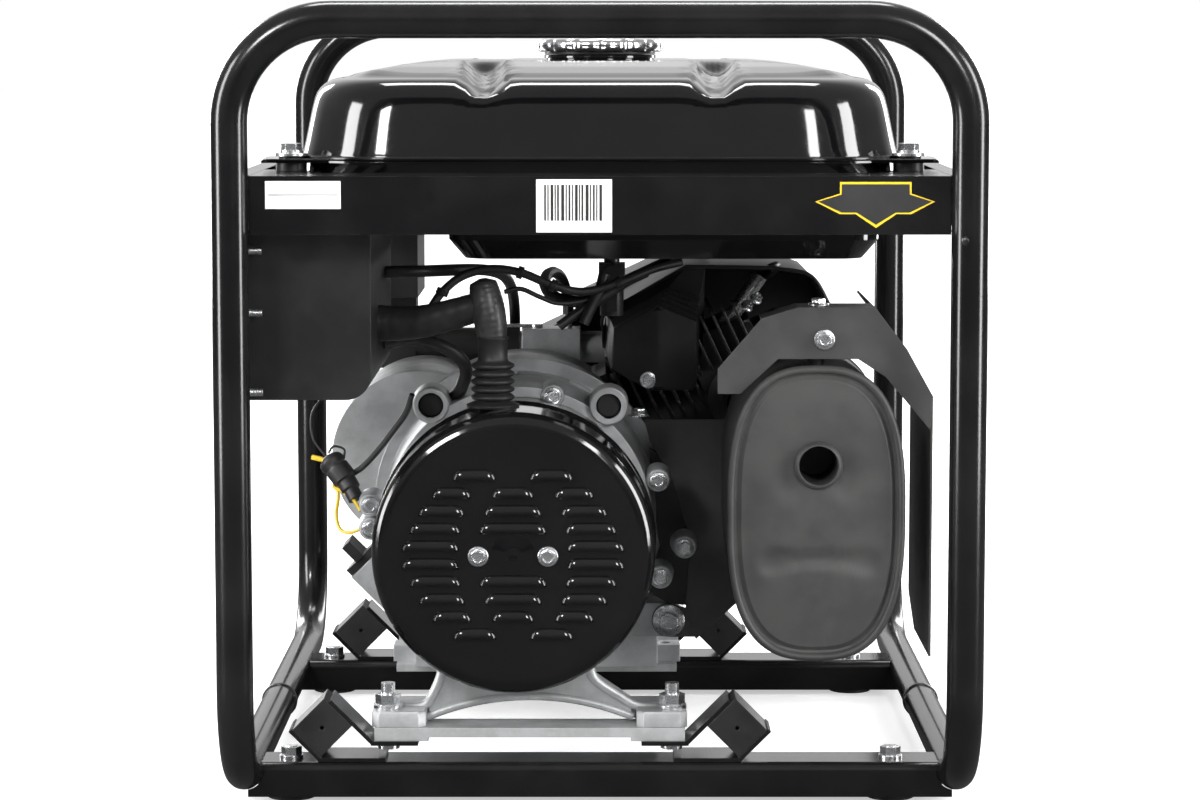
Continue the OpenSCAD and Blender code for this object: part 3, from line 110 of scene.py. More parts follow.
def noise(tree, scale, detail=3.0, rough=0.55, squeeze=(1, 1, 1)):
    place = tree.nodes.new("ShaderNodeTexCoord")
    stretch = tree.nodes.new("ShaderNodeMapping")
    stretch.inputs["Scale"].default_value = squeeze
    cloud = tree.nodes.new("ShaderNodeTexNoise")
    cloud.inputs["Detail"].default_value, cloud.inputs["Roughness"].default_value = detail, rough
    if isinstance(scale, (int, float)):
        cloud.inputs["Scale"].default_value = scale
    else:
        tree.links.new(scale, cloud.inputs["Scale"])
    tree.links.new(place.outputs["Object"], stretch.inputs["Vector"])
    tree.links.new(stretch.outputs[0], cloud.inputs["Vector"])
    return cloud.outputs[0]


def build_soft_edge():
    """Rounds an edge's shading over a small radius and masks the strip along it, for patchy rubbed paint that
    also stands in as a painted highlight on the edge.
    """
    tree, source, sink = new_group(
        "soft_edge",
        [("Radius", "NodeSocketFloat", 0.001), ("Wear", "NodeSocketFloat", 0.5)],
        [("Mask", "NodeSocketFloat"), ("Normal", "NodeSocketVector")],
    )
    rounded = add(tree, "ShaderNodeBevel", samples=4)
    tree.links.new(source.outputs["Radius"], rounded.inputs["Radius"])
    flat = tree.nodes.new("ShaderNodeNewGeometry")
    dot = add(tree, "ShaderNodeVectorMath", operation="DOT_PRODUCT")
    tree.links.new(rounded.outputs[0], dot.inputs[0])
    tree.links.new(flat.outputs["Normal"], dot.inputs[1])
    bend = maths(tree, "SUBTRACT", 1.0, dot.outputs["Value"])
    patchy = ramp(tree, noise(tree, 90.0, 4.0, 0.7), 0.42, 0.68)
    # Edge mask: partly patchy rubbed paint, partly a painted highlight along every edge.
    mask = maths(tree, "MULTIPLY", maths(tree, "MULTIPLY", bend, 6.0, clamp=True), patchy)
    tree.links.new(maths(tree, "MULTIPLY", mask, source.outputs["Wear"], clamp=True), sink.inputs["Mask"])
    tree.links.new(rounded.outputs[0], sink.inputs["Normal"])
    return tree


def build_grain():
    """Fine surface texture: a height for the bump and a tone for colour and gloss."""
    tree, source, sink = new_group(
        "grain",
        [("Scale", "NodeSocketFloat", 900.0), ("Coarse", "NodeSocketFloat", 40.0),
         ("Mix", "NodeSocketFloat", 0.3)],
        [("Height", "NodeSocketFloat"), ("Tone", "NodeSocketFloat"), ("Patch", "NodeSocketFloat")],
    )
    fine = noise(tree, source.outputs["Scale"], 2.0, 0.6)
    broad = noise(tree, source.outputs["Coarse"], 4.0, 0.6)
    blend = tree.nodes.new("ShaderNodeMix")
    tree.links.new(source.outputs["Mix"], blend.inputs["Factor"])
    tree.links.new(fine, blend.inputs["A"])
    tree.links.new(broad, blend.inputs["B"])
    tree.links.new(fine, sink.inputs["Height"])
    tree.links.new(blend.outputs[0], sink.inputs["Tone"])
    tree.links.new(ramp(tree, broad, 0.36, 0.66), sink.inputs["Patch"])
    return tree


def build_settled_dust():
    """Mask of the dust that lies on faces that look up."""
    tree, source, sink = new_group(
        "settled_dust", [("Amount", "NodeSocketFloat", 0.3)], [("Mask", "NodeSocketFloat")]
    )
    up = tree.nodes.new("ShaderNodeNewGeometry")
    split = tree.nodes.new("ShaderNodeSeparateXYZ")
    tree.links.new(up.outputs["Normal"], split.inputs[0])
    level = ramp(tree, split.outputs["Z"], 0.25, 1.0)
    specks = ramp(tree, noise(tree, 700.0, 3.0, 0.75), 0.5, 0.72)
    cloud = ramp(tree, noise(tree, 16.0, 4.0, 0.6), 0.35, 0.75)
    both = maths(tree, "ADD", maths(tree, "MULTIPLY", specks, 0.7), maths(tree, "MULTIPLY", cloud, 0.5))
    mask = maths(tree, "MULTIPLY", maths(tree, "MULTIPLY", level, both), source.outputs["Amount"], clamp=True)
    tree.links.new(mask, sink.inputs["Mask"])
    return tree


SOFT_EDGE, GRAIN, DUST = build_soft_edge(), build_grain(), build_settled_dust()


def place_group(tree, group, **values):
    node = tree.nodes.new("ShaderNodeGroup")
    node.node_tree = group
    for key, value in values.items():
        node.inputs[key].default_value = value
    return node


def tint(tree, mask, a, b):
    """Blends colour a into colour b by mask; each is a colour or a socket."""
    node = add(tree, "ShaderNodeMix", data_type="RGBA")
    sockets = [s for s in node.inputs if s.type == "RGBA"]
    tree.links.new(mask, node.inputs["Factor"])
    for socket, value in zip(sockets, (a, b)):
        if isinstance(value, tuple):
            socket.default_value = (*value, 1.0)
        else:
            tree.links.new(value, socket)
    return next(s for s in node.outputs if s.type == "RGBA")


def finish_of(name, colour, second, metallic=0.0, gloss=(0.3, 0.45), grain=900.0, coarse=40.0, depth=0.02,
              edge=0.8, wear_and_highlight=0.0, worn_and_highlight_colour=(0.3, 0.3, 0.3), dust=0.0, coat=0.0, coat_gloss=0.05, sheen=0.0,
              mirror=0.5):
    """One finish: two tones broken up by grain, a rounded edge tinted as patchy rubbed paint and as a painted
    highlight, dust on top, gloss that varies.
    """
    made = bpy.data.materials.new(name)
    made.use_nodes = True
    tree = made.node_tree
    shader = tree.nodes["Principled BSDF"]
    shader.inputs["Metallic"].default_value = metallic
    shader.inputs["Coat Weight"].default_value = coat
    shader.inputs["Coat Roughness"].default_value = coat_gloss
    shader.inputs["Sheen Weight"].default_value = sheen
    shader.inputs["Specular IOR Level"].default_value = mirror
    texture = place_group(tree, GRAIN, Scale=grain, Coarse=coarse)
    rim = place_group(tree, SOFT_EDGE, Radius=edge * MM, Wear=wear_and_highlight)
    base = tint(tree, texture.outputs["Patch"], colour, second)
    # Edge strip tinted to its own colour: partly real rubbed paint, partly a painted highlight.
    base = tint(tree, rim.outputs["Mask"], base, worn_and_highlight_colour)
    shine = tree.nodes.new("ShaderNodeMapRange")
    shine.inputs["From Min"].default_value, shine.inputs["From Max"].default_value = 0.3, 0.7
    shine.inputs["To Min"].default_value, shine.inputs["To Max"].default_value = gloss
    tree.links.new(texture.outputs["Tone"], shine.inputs["Value"])
    roughness = shine.outputs[0]
    if dust:
        film = place_group(tree, DUST, Amount=dust)
        base = tint(tree, film.outputs["Mask"], base, (0.32, 0.31, 0.29))
        matt = maths(tree, "MULTIPLY", film.outputs["Mask"], 0.4)
        roughness = maths(tree, "ADD", roughness, matt, clamp=True)
    relief = add(tree, "ShaderNodeBump", Strength=0.6)
    relief.inputs["Distance"].default_value = depth * MM
    tree.links.new(texture.outputs["Height"], relief.inputs["Height"])
    tree.links.new(rim.outputs["Normal"], relief.inputs["Normal"])
    tree.links.new(base, shader.inputs["Base Color"])
    tree.links.new(roughness, shader.inputs["Roughness"])
    tree.links.new(relief.outputs[0], shader.inputs["Normal"])
    return made


FINISH = {
    "tank_paint": finish_of(
        "black_enamel", (0.0035, 0.0035, 0.004), (0.005, 0.005, 0.0055), gloss=(0.06, 0.13),
        grain=260.0, coarse=12.0, depth=0.006, edge=1.2, dust=0.03, mirror=0.3, coat=0.5,
    ),
    "frame_paint": finish_of(
        "powder_coat", (0.005, 0.005, 0.0055), (0.008, 0.008, 0.0085), gloss=(0.14, 0.26),
        grain=700.0, coarse=18.0, depth=0.015, edge=1.0, wear_and_highlight=0.25, worn_and_highlight_colour=(0.10, 0.10, 0.10),
        dust=0.04, mirror=0.3, coat=0.25, coat_gloss=0.12,
    ),
    "black_sheet": finish_of(
        "satin_black", (0.012, 0.012, 0.0125), (0.018, 0.018, 0.018), gloss=(0.28, 0.42),
        grain=800.0, coarse=22.0, depth=0.02, edge=0.9, wear_and_highlight=0.3, worn_and_highlight_colour=(0.12, 0.12, 0.12),
        dust=0.08, mirror=0.3,
    ),
    # Strong light edges on the black castings: partly rubbed paint, partly a painted highlight on the fin
    # edges.
    "black_casting": finish_of(
        "black_casting", (0.014, 0.014, 0.014), (0.022, 0.022, 0.022), gloss=(0.3, 0.45),
        grain=600.0, coarse=30.0, depth=0.08, edge=1.2, wear_and_highlight=0.6, worn_and_highlight_colour=(0.25, 0.25, 0.25),
        dust=0.15,
    ),
    "exhaust_steel": finish_of(
        "heat_dulled_steel", (0.030, 0.030, 0.030), (0.042, 0.041, 0.040), gloss=(0.46, 0.62),
        grain=1300.0, coarse=26.0, depth=0.03, edge=0.8, wear_and_highlight=0.35, worn_and_highlight_colour=(0.16, 0.155, 0.15),
        dust=0.12,
    ),
    "zinc_hardware": finish_of(
        "bright_zinc", (0.92, 0.93, 0.95), (0.78, 0.79, 0.81), metallic=1.0, gloss=(0.2, 0.36),
        grain=1600.0, coarse=160.0, depth=0.01, edge=0.5, wear_and_highlight=0.3, worn_and_highlight_colour=(0.85, 0.85, 0.86),
    ),
    "zinc_plate": finish_of(
        "dull_zinc", (0.60, 0.61, 0.62), (0.50, 0.51, 0.51), metallic=0.6, gloss=(0.34, 0.5),
        grain=900.0, coarse=60.0, depth=0.02, edge=0.8, wear_and_highlight=0.3, worn_and_highlight_colour=(0.8, 0.8, 0.8), dust=0.2,
    ),
    "cast_alloy": finish_of(
        "cast_alloy", (0.52, 0.53, 0.54), (0.38, 0.385, 0.39), metallic=0.6, gloss=(0.36, 0.54),
        grain=650.0, coarse=30.0, depth=0.10, edge=1.4, wear_and_highlight=0.5, worn_and_highlight_colour=(0.72, 0.72, 0.72),
        dust=0.15,
    ),
    "cap_chrome": finish_of(
        "cap_chrome", (0.80, 0.80, 0.82), (0.70, 0.70, 0.72), metallic=1.0, gloss=(0.12, 0.2),
        grain=500.0, coarse=30.0, depth=0.004, edge=0.9,
    ),
    "machined_steel": finish_of(
        "machined_steel", (0.42, 0.42, 0.43), (0.32, 0.32, 0.32), metallic=1.0, gloss=(0.24, 0.4),
        grain=1500.0, coarse=50.0, depth=0.01, edge=0.5,
    ),
    "flywheel_iron": finish_of(
        "flywheel_iron", (0.10, 0.10, 0.10), (0.16, 0.15, 0.14), metallic=0.7, gloss=(0.45, 0.6),
        grain=600.0, coarse=30.0, depth=0.06, edge=0.8, wear_and_highlight=0.4,
    ),
    "black_rubber": finish_of(
        "black_rubber", (0.007, 0.007, 0.007), (0.011, 0.011, 0.011), gloss=(0.4, 0.58),
        grain=1200.0, coarse=40.0, depth=0.04, edge=1.2, dust=0.08,
    ),
    "black_plastic": finish_of(
        "moulded_black_plastic", (0.010, 0.010, 0.010), (0.014, 0.014, 0.014), gloss=(0.32, 0.46),
        grain=1700.0, coarse=30.0, depth=0.03, edge=0.8, wear_and_highlight=0.15, worn_and_highlight_colour=(0.08, 0.08, 0.08),
        dust=0.16,
    ),
    "red_plastic": finish_of(
        "red_plastic", (0.42, 0.02, 0.015), (0.34, 0.016, 0.012), gloss=(0.25, 0.4), grain=1500.0,
        depth=0.01, edge=0.5,
    ),
    "blue_plastic": finish_of(
        "blue_plastic", (0.02, 0.07, 0.30), (0.016, 0.055, 0.24), gloss=(0.28, 0.42), grain=1500.0,
        depth=0.015, edge=0.6, dust=0.08,
    ),
    "rope": finish_of(
        "braided_cord", (0.22, 0.22, 0.21), (0.10, 0.10, 0.10), gloss=(0.7, 0.85), grain=1800.0,
        coarse=900.0, depth=0.2, edge=0.3, sheen=0.3,
    ),
    "plug_steel": finish_of(
        "plated_steel", (0.62, 0.62, 0.60), (0.5, 0.5, 0.48), metallic=0.9, gloss=(0.2, 0.34),
        grain=1200.0, depth=0.01, edge=0.4,
    ),
    "copper_wire": finish_of(
        "varnished_copper", (0.55, 0.20, 0.07), (0.38, 0.13, 0.05), metallic=0.9, gloss=(0.25, 0.4),
        grain=1400.0, coarse=500.0, depth=0.15, edge=0.5, coat=0.4,
    ),
    "bearing_steel": finish_of(
        "ground_steel", (0.65, 0.65, 0.66), (0.55, 0.55, 0.56), metallic=1.0, gloss=(0.12, 0.2),
        grain=1500.0, depth=0.005, edge=0.4,
    ),
    "cable_sleeve": finish_of(
        "cable_sleeve", (0.010, 0.010, 0.010), (0.016, 0.016, 0.016), gloss=(0.4, 0.55),
        grain=1500.0, coarse=120.0, depth=0.03, edge=0.4, dust=0.1,
    ),
}
EXTRA = {
    "yellow_wire": finish_of(
        "yellow_wire", (0.62, 0.42, 0.01), (0.55, 0.38, 0.01), gloss=(0.3, 0.42), grain=1500.0,
        depth=0.01, edge=0.2,
    ),
    "white_label": finish_of(
        "white_label", (0.72, 0.72, 0.71), (0.66, 0.66, 0.65), gloss=(0.35, 0.45), grain=1500.0,
        coarse=60.0, depth=0.005, edge=0.1,
    ),
    "label_ink": finish_of(
        "label_ink", (0.015, 0.015, 0.015), (0.02, 0.02, 0.02), gloss=(0.4, 0.5), grain=1500.0,
        depth=0.003, edge=0.1,
    ),
    "label_yellow": finish_of(
        "label_yellow", (0.75, 0.50, 0.01), (0.70, 0.46, 0.01), gloss=(0.35, 0.45), grain=1500.0,
        depth=0.003, edge=0.1,
    ),
    "weld_bead": finish_of(
        "painted_weld", (0.008, 0.008, 0.008), (0.02, 0.02, 0.02), gloss=(0.18, 0.4), grain=380.0,
        coarse=90.0, depth=0.35, edge=1.0, wear_and_highlight=0.3, worn_and_highlight_colour=(0.3, 0.29, 0.27),
    ),
    "tape": finish_of(
        "wrapped_tape", (0.016, 0.016, 0.017), (0.03, 0.03, 0.03), gloss=(0.3, 0.5), grain=300.0,
        coarse=120.0, depth=0.3, edge=0.6,
    ),
}


# ---- making meshes
def smooth(mesh, angle=35.0):
    mesh.polygons.foreach_set("use_smooth", [True] * len(mesh.polygons))
    mesh.set_sharp_from_angle(angle=math.radians(angle))


def piece(name, verts, faces, slot, body=ROOT, finish=None, angle=35.0, stands_for=()):
    """A new piece from points in millimetres in the row frame."""
    mesh = bpy.data.meshes.new(name)
    mesh.from_pydata([tuple(c * MM for c in v) for v in verts], [], faces)
    mesh.validate()
    form = bmesh.new()
    form.from_mesh(mesh)
    bmesh.ops.recalc_face_normals(form, faces=form.faces)
    form.to_mesh(mesh)
    form.free()
    smooth(mesh, angle)
    made = bpy.data.objects.new(name, mesh)
    bpy.context.collection.objects.link(made)
    mesh.materials.append(EXTRA[finish] if finish else FINISH[slot])
    if body:
        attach(made, body)
    if stands_for:
        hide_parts(*stands_for)
    return made


class Form:
    """Collects the faces of one piece that is built from several closed forms."""

    def __init__(self):
        self.verts, self.faces = [], []

    def take(self, verts, faces, place=None):
        start = len(self.verts)
        self.verts += [tuple(place @ Vector(v)) if place else tuple(v) for v in verts]
        self.faces += [[start + i for i in f] for f in faces]
        return self

    def rings(self, rings, closed=True, ends=(True, True), place=None):
        """Skins a row of equal rings; closed rings wrap round."""
        n = len(rings[0])
        verts = [p for ring in rings for p in ring]
        faces = []
        last = n if closed else n - 1
        for i in range(len(rings) - 1):
            for k in range(last):
                j = (k + 1) % n
                faces.append([i * n + k, i * n + j, (i + 1) * n + j, (i + 1) * n + k])
        if ends[0]:
            faces.append(list(range(n))[::-1])
        if ends[1]:
            faces.append([(len(rings) - 1) * n + k for k in range(n)])
        return self.take(verts, faces, place)

    def turned(self, profile, place, steps=40, ends=(False, False)):
        """A turned form: profile is (radius, height) pairs, its axis the place's Z."""
        turn = [2 * math.pi * k / steps for k in range(steps)]
        rings = [[(r * math.cos(t), r * math.sin(t), h) for t in turn] for r, h in profile]
        return self.rings(rings, True, ends, place)

    def slab(self, outline, depth, place, chamfer=0.6):
        """An outline pushed along the place's Z, with a small chamfer on both faces."""
        mid = Vector((sum(p[0] for p in outline) / len(outline), sum(p[1] for p in outline) / len(outline)))

        def ring(inset, h):
            out = []
            for p in outline:
                v = Vector(p) - mid
                out.append((*(mid + v * (1 - inset / max(v.length, 0.1))), h))
            return out

        rings = [ring(chamfer, 0), ring(0, chamfer), ring(0, depth - chamfer), ring(chamfer, depth)]
        return self.rings(rings, True, (True, True), place)


def facing(x, y, z, direction):
    """A place whose Z runs along direction from a point."""
    turn = Vector(direction).to_track_quat("Z", "Y").to_matrix().to_4x4()
    return Matrix.Translation(Vector((x, y, z))) @ turn


def sweep(form, path, radius, sides=14):
    """A round cord along a path of points, of one radius or of one for each point."""
    pts = [Vector(p) for p in path]
    tangents = [(pts[min(i + 1, len(pts) - 1)] - pts[max(i - 1, 0)]).normalized() for i in range(len(pts))]
    side = tangents[0].orthogonal().normalized()
    rings = []
    for i, (p, t) in enumerate(zip(pts, tangents)):
        side = (side - t * side.dot(t)).normalized()
        up = t.cross(side)
        r = radius[i] if isinstance(radius, (list, tuple)) else radius
        rings.append([tuple(p + r * (math.cos(a) * side + math.sin(a) * up))
                      for a in [2 * math.pi * k / sides for k in range(sides)]])
    return form.rings(rings)


def bent(a, u, v, b, n=28):
    """Points on a smooth bend from a, leaving along u, to b, arriving along v."""
    a, u, v, b = map(Vector, (a, u, v, b))
    out = []
    for i in range(n + 1):
        t = i / n
        k = 1 - t
        out.append(k**3 * a + 3 * k * k * t * (a + u) + 3 * k * t * t * (b - v) + t**3 * b)
    return out


def through(points, n=10):
    """A smooth path through the given points."""
    pts = [Vector(p) for p in points]
    pts = [2 * pts[0] - pts[1], *pts, 2 * pts[-1] - pts[-2]]
    out = []
    for i in range(1, len(pts) - 2):
        p0, p1, p2, p3 = pts[i - 1: i + 3]
        for k in range(n):
            t = k / n
            out.append(0.5 * (2 * p1 + (p2 - p0) * t + (2 * p0 - 5 * p1 + 4 * p2 - p3) * t * t
                              + (3 * p1 - 3 * p2 + p3 - p0) * t**3))
    out.append(pts[-2])
    return out


def hexagon(radius, height):
    """The six corners of a spanner head at one height."""
    corners = [math.radians(60 * k + 30) for k in range(6)]
    return [(radius * math.cos(a), radius * math.sin(a), height) for a in corners]


def flange_head(form, place, flange=8.5, across=11.0, height=5.5, stub=0.0):
    """A flanged hexagon head with a chamfered, dished top and, where asked, the stub of its thread."""
    r = across / math.sqrt(3)
    rim, dish, floor = r * 0.9, r * 0.55, height - 0.7
    collar = [(0.2, 0), (flange, 0), (flange, 0.9), (flange * 0.93, 1.5), (across * 0.5, 1.9), (0.2, 1.9)]
    form.turned(collar, place, 28)
    form.rings([hexagon(r, 1.5), hexagon(r, height - 0.8), hexagon(rim, height)], True, (True, False), place)
    form.turned([(rim * 0.87, height), (r * 0.62, height + 0.05), (dish, floor), (0.2, floor)], place, 24)
    form.rings([hexagon(rim, height), hexagon(dish, height + 0.02)], True, (False, False), place)
    if stub:
        coils = [(2.6 + (0.25 if i % 2 else 0.0), height + stub * i / 16) for i in range(17)]
        form.turned([*coils, (0.2, height + stub)], place, 20)


def step(value, edge, soft):
    """Falls smoothly from one to nothing as value passes edge."""
    return 1 / (1 + math.exp(max(-40.0, min(40.0, (value - edge) / soft))))


# ---- CAD nodes keep their place and get their finish
slots = {s["node"]: s["material_slot"] for s in frame["record"]["subparts"]}
for node, carried in frame["nodes"].items():
    carried.data.materials.clear()
    carried.data.materials.append(FINISH[slots[node]])
    smooth(carried.data, 32.0)


# ---- alternator end cover: pressed louvres and screws
LOUVRE_ROWS = (  # places along each row and the lengths there, from the rim inwards
    ((-27, 27), (30, 30)),
    ((-43, 0, 43), (27, 29, 27)),
    ((-50, 0, 50), (32, 40, 32)),
    ((-54.7, 0, 54.7), (35.5, 47, 35.5)),
    ((-58, 58), (40, 40)),
)
LOUVRE_PITCH = 12.5
LOUVRE_HEIGHT = 7.8
LOUVRE_SWELL = 4.0
LIP_DROP = 3.6


def louvre(form, cx, cz, length):
    """One pressed hood: a flat lip below and an arch that swells out of the cover."""
    core = length / 2 - LOUVRE_HEIGHT
    edge = [(-core, 180 - 90 * k / 8) for k in range(9)]
    edge += [(-core + 2 * core * k / 6, 90) for k in range(1, 6)]
    edge += [(core, 90 - 90 * k / 8) for k in range(9)]
    rings = []
    for share in (1.0, 0.97, 0.9, 0.8, 0.65, 0.5, 0.3, 0.1):
        y = COVER_FRONT - 0.05 - LOUVRE_SWELL * math.sqrt(1 - share * share) ** 0.8
        r = LOUVRE_HEIGHT * share
        rings.append([(cx + along + r * math.cos(math.radians(a)), y,
                       cz - LIP_DROP + r * math.sin(math.radians(a))) for along, a in edge])
    form.rings(rings, False, (False, False))


def pressed_louvres():
    form = Form()
    for row, (places, lengths) in enumerate(LOUVRE_ROWS):
        for up in (-1, 1):
            for x, length in zip(places, lengths):
                louvre(form, SHAFT[0] + x, SHAFT[1] + up * (4.5 - row) * LOUVRE_PITCH, length)
    made = piece("pressed_louvres", form.verts, form.faces, "tank_paint", angle=60)
    made.modifiers.new("sheet", "SOLIDIFY").thickness = 0.5 * MM


def cover_trim():
    """The cover's two screws, the shallow dish in its middle and the bead on its back edge."""
    screws = Form()
    for side in (-1, 1):
        place = facing(SHAFT[0] + side * 24.5, COVER_FRONT - 0.2, SHAFT[1] - 1, (0, -1, 0))
        flange_head(screws, place, 7.3, 9.6, 6.2)
    piece("cover_screws", screws.verts, screws.faces, "zinc_hardware")
    dish = Form().turned([(16, -0.1), (13, 0.5), (7, 0.9), (5.2, 1.3), (3.2, 0.9), (0.1, 0.7)],
                         facing(SHAFT[0], COVER_FRONT, SHAFT[1], (0, -1, 0)), 48)
    piece("cover_boss", dish.verts, dish.faces, "tank_paint", angle=60)
    bead = Form().turned([(99.6, 66), (101.2, 67.2), (101.6, 69), (100.8, 70.6), (99.2, 70.9)],
                         facing(SHAFT[0], COVER_FRONT, SHAFT[1], (0, 1, 0)), 120)
    piece("cover_back_bead", bead.verts, bead.faces, "tank_paint", angle=60)


pressed_louvres()
cover_trim()


# ---- silencer: rolled seams, stamped end plate
SILENCER_HALF = (64.0, 106.5)
PLATE_INSET = 10.4
OUTLET_R = 15.4
CORNER_POWER = 0.73
# (place along the frame, inset) from the far end over both rolled seams to the end plate's rim
SILENCER_PROFILE = [
    (-45, 30), (-45, 4.5), (-46.5, 3), (-60, 3), (-60.8, 2.2), (-63, 1.8), (-65.2, 2.2), (-66, 3), (-212, 3),
    (-222, 3), (-226.5, 2.4), (-227.2, 0.8), (-229, 0.1), (-231, 0.0), (-233, 0.4), (-234.4, 1.4),
    (-235, 2.8), (-234.6, 4.2), (-233, 5.2), (-231.2, 5.8), (-230.6, 7.4), (-231.6, 9.0), (-232.6, PLATE_INSET),
]


def oval(inset, n=120):
    """The silencer's outline, fuller at its corners than an ellipse, drawn in by inset."""
    half_w, half_h = (half - inset for half in SILENCER_HALF)
    out = []
    for k in range(n):
        a = 2 * math.pi * k / n
        c, s = math.cos(a), math.sin(a)
        out.append((half_w * math.copysign(abs(c) ** CORNER_POWER, c),
                    half_h * math.copysign(abs(s) ** CORNER_POWER, s)))
    return out


def stamping(p, outlet, t):
    """Depth of the end plate: its soft rim, two dimples by the outlet and a long bar whose ends droop."""
    y = -232.6 - 0.9 * (1 - math.exp(-((t * 6) ** 2)))
    for side in (-1, 1):
        off = math.hypot((p.x - outlet.x - side * 19) / 13, (p.y - outlet.y + 9) / 15)
        y += 1.8 * math.exp(-off ** 3)
    run = p.x - 3
    middle = -33 - 2.5 * (run / 42) ** 2
    tall = 4.5 + 3.5 * math.exp(-(((abs(run) - 33) / 12) ** 2))
    return y + 2.6 * step(abs(run), 42, 2.0) * math.exp(-(((p.y - middle) / tall) ** 4))


def end_plate(form, steps=30):
    """Rings that close in from the seam to the outlet's bore."""
    cx, cz = SILENCER
    outlet = Vector((OUTLET[0] - cx, OUTLET[1] - cz))
    rings = []
    for i in range(steps):
        t = i / steps
        line = []
        for x, z in oval(PLATE_INSET):
            p = Vector((x, z)).lerp(outlet, t)
            if (p - outlet).length < OUTLET_R:
                p = outlet + (p - outlet).normalized() * OUTLET_R
            line.append((cx + p.x, stamping(p, outlet, t), cz + p.y))
        rings.append(line)
    form.rings(rings, True, (False, False))


def silencer_shell():
    cx, cz = SILENCER
    form = Form()
    form.rings([[(cx + x, y, cz + z) for x, z in oval(inset)] for y, inset in SILENCER_PROFILE],
               True, (True, False))
    end_plate(form)
    piece("silencer_shell", form.verts, form.faces, "exhaust_steel", angle=50, stands_for=("silencer",))


def silencer_pipes():
    """The turned-in outlet, and the exhaust pipe with its flange at the cylinder's side."""
    outlet = Form()
    outlet.turned([(17.4, -1.5), (16.4, 0.6), (15.4, 1.4), (15.0, 1.8), (14.4, 1.9), (14.0, 1.4), (13.9, -2),
                   (13.9, -60), (0.1, -60)], facing(OUTLET[0], -235.4, OUTLET[1], (0, -1, 0)), 48)
    piece("silencer_outlet", outlet.verts, outlet.faces, "exhaust_steel", angle=50)
    head = Form()
    inlet = facing(111.2, -47, 260.8, (0, 1, 0))
    head.turned([(14, 0), (14, 60)], inlet, 40)
    head.turned([(14, 53), (27, 53), (27, 56.5), (25.5, 58), (14, 58)], inlet, 40)
    piece("exhaust_pipe", head.verts, head.faces, "exhaust_steel", angle=50)


silencer_shell()
silencer_pipes()


# ---- fuel tank: pressed dome and cap
TANK_HALF = (214.0, 262.0)
TANK_CORNER = 75.0
# (height, inset, corner radius) of the tank's side, from the seam up to the rim of its top panel
TANK_SIDE = (
    (456.0, 0.0, 75), (458.5, 0.3, 75), (462, 1.2, 74), (470, 3.0, 73), (480, 5.0, 72), (490, 7.0, 71),
    (498, 9.0, 70), (502, 10.6, 69), (505.5, 13.0, 67), (508.5, 16.4, 64), (510.8, 20.6, 60),
    (512.0, 25.0, 57), (512.4, 28.0, 54),
)
# (height, overhang) round the rolled lip of the seam
TANK_LIP = ((456.0, 0.0), (455.2, 8.0), (456.0, 8.9), (457.2, 9.0), (458.2, 8.2), (458.4, 1.0))


def rounded_plan(out, corner, n=14, along=34):
    """The tank's outline moved out by out, as a ring of points, with points along its straight runs too."""
    half_x, half_y = (half + out for half in TANK_HALF)
    in_x, in_y = half_x - corner, half_y - corner
    quarters = (((in_x, in_y), 0, (-in_x, half_y)), ((-in_x, in_y), 90, (-half_x, -in_y)),
                ((-in_x, -in_y), 180, (in_x, -half_y)), ((in_x, -in_y), 270, (half_x, in_y)))
    ring = []
    for (cx, cy), start, run_end in quarters:
        for k in range(n + 1):
            a = math.radians(start + 90 * k / n)
            ring.append(Vector((cx + corner * math.cos(a), cy + corner * math.sin(a))))
        last = ring[-1].copy()
        ring += [last.lerp(Vector(run_end), k / along) for k in range(1, along)]
    return [tuple(p) for p in ring]


def between(value, table):
    """Straight-line reading of a table of (place, height) pairs."""
    for (a, low), (b, high) in zip(table, table[1:]):
        if value <= b:
            return low + (high - low) * max(0.0, value - a) / (b - a)
    return table[-1][1]


def valley(x, y):
    """Depth of the two pressed valleys that cross the tank's top."""
    off = abs(abs(x) - 81.5 - 0.04 * max(0.0, 200 - abs(y)))
    return 11.0 * max(0.0, min(1.0, (15.5 - off) / 10)) * (1 - step(abs(y), 78, 4))


def crown_height(x, y):
    """Height of the tank's top panel: folded facets that rise to a flat middle."""
    across = between(abs(x), [(0, 524), (97, 524), (119, 523.6), (143, 521.6), (168, 517.0), (186, 512.6)])
    along = between(abs(y), [(0, 524), (150, 524), (196, 520.5), (234, 513.6)])
    return min(across, along) - valley(x, y)


def top_panel(rim, steps=44):
    """Rings that close in from the rim of the tank's top panel towards its middle."""
    rings = []
    for i in range(1, steps):
        t = i / steps
        ease = min(1.0, t / 0.04)
        line = []
        for x, y, z in rim:
            px, py = x * (1 - t), y * (1 - t)
            line.append((px, py, z + ease * (crown_height(px, py) - z)))
        rings.append(line)
    return rings


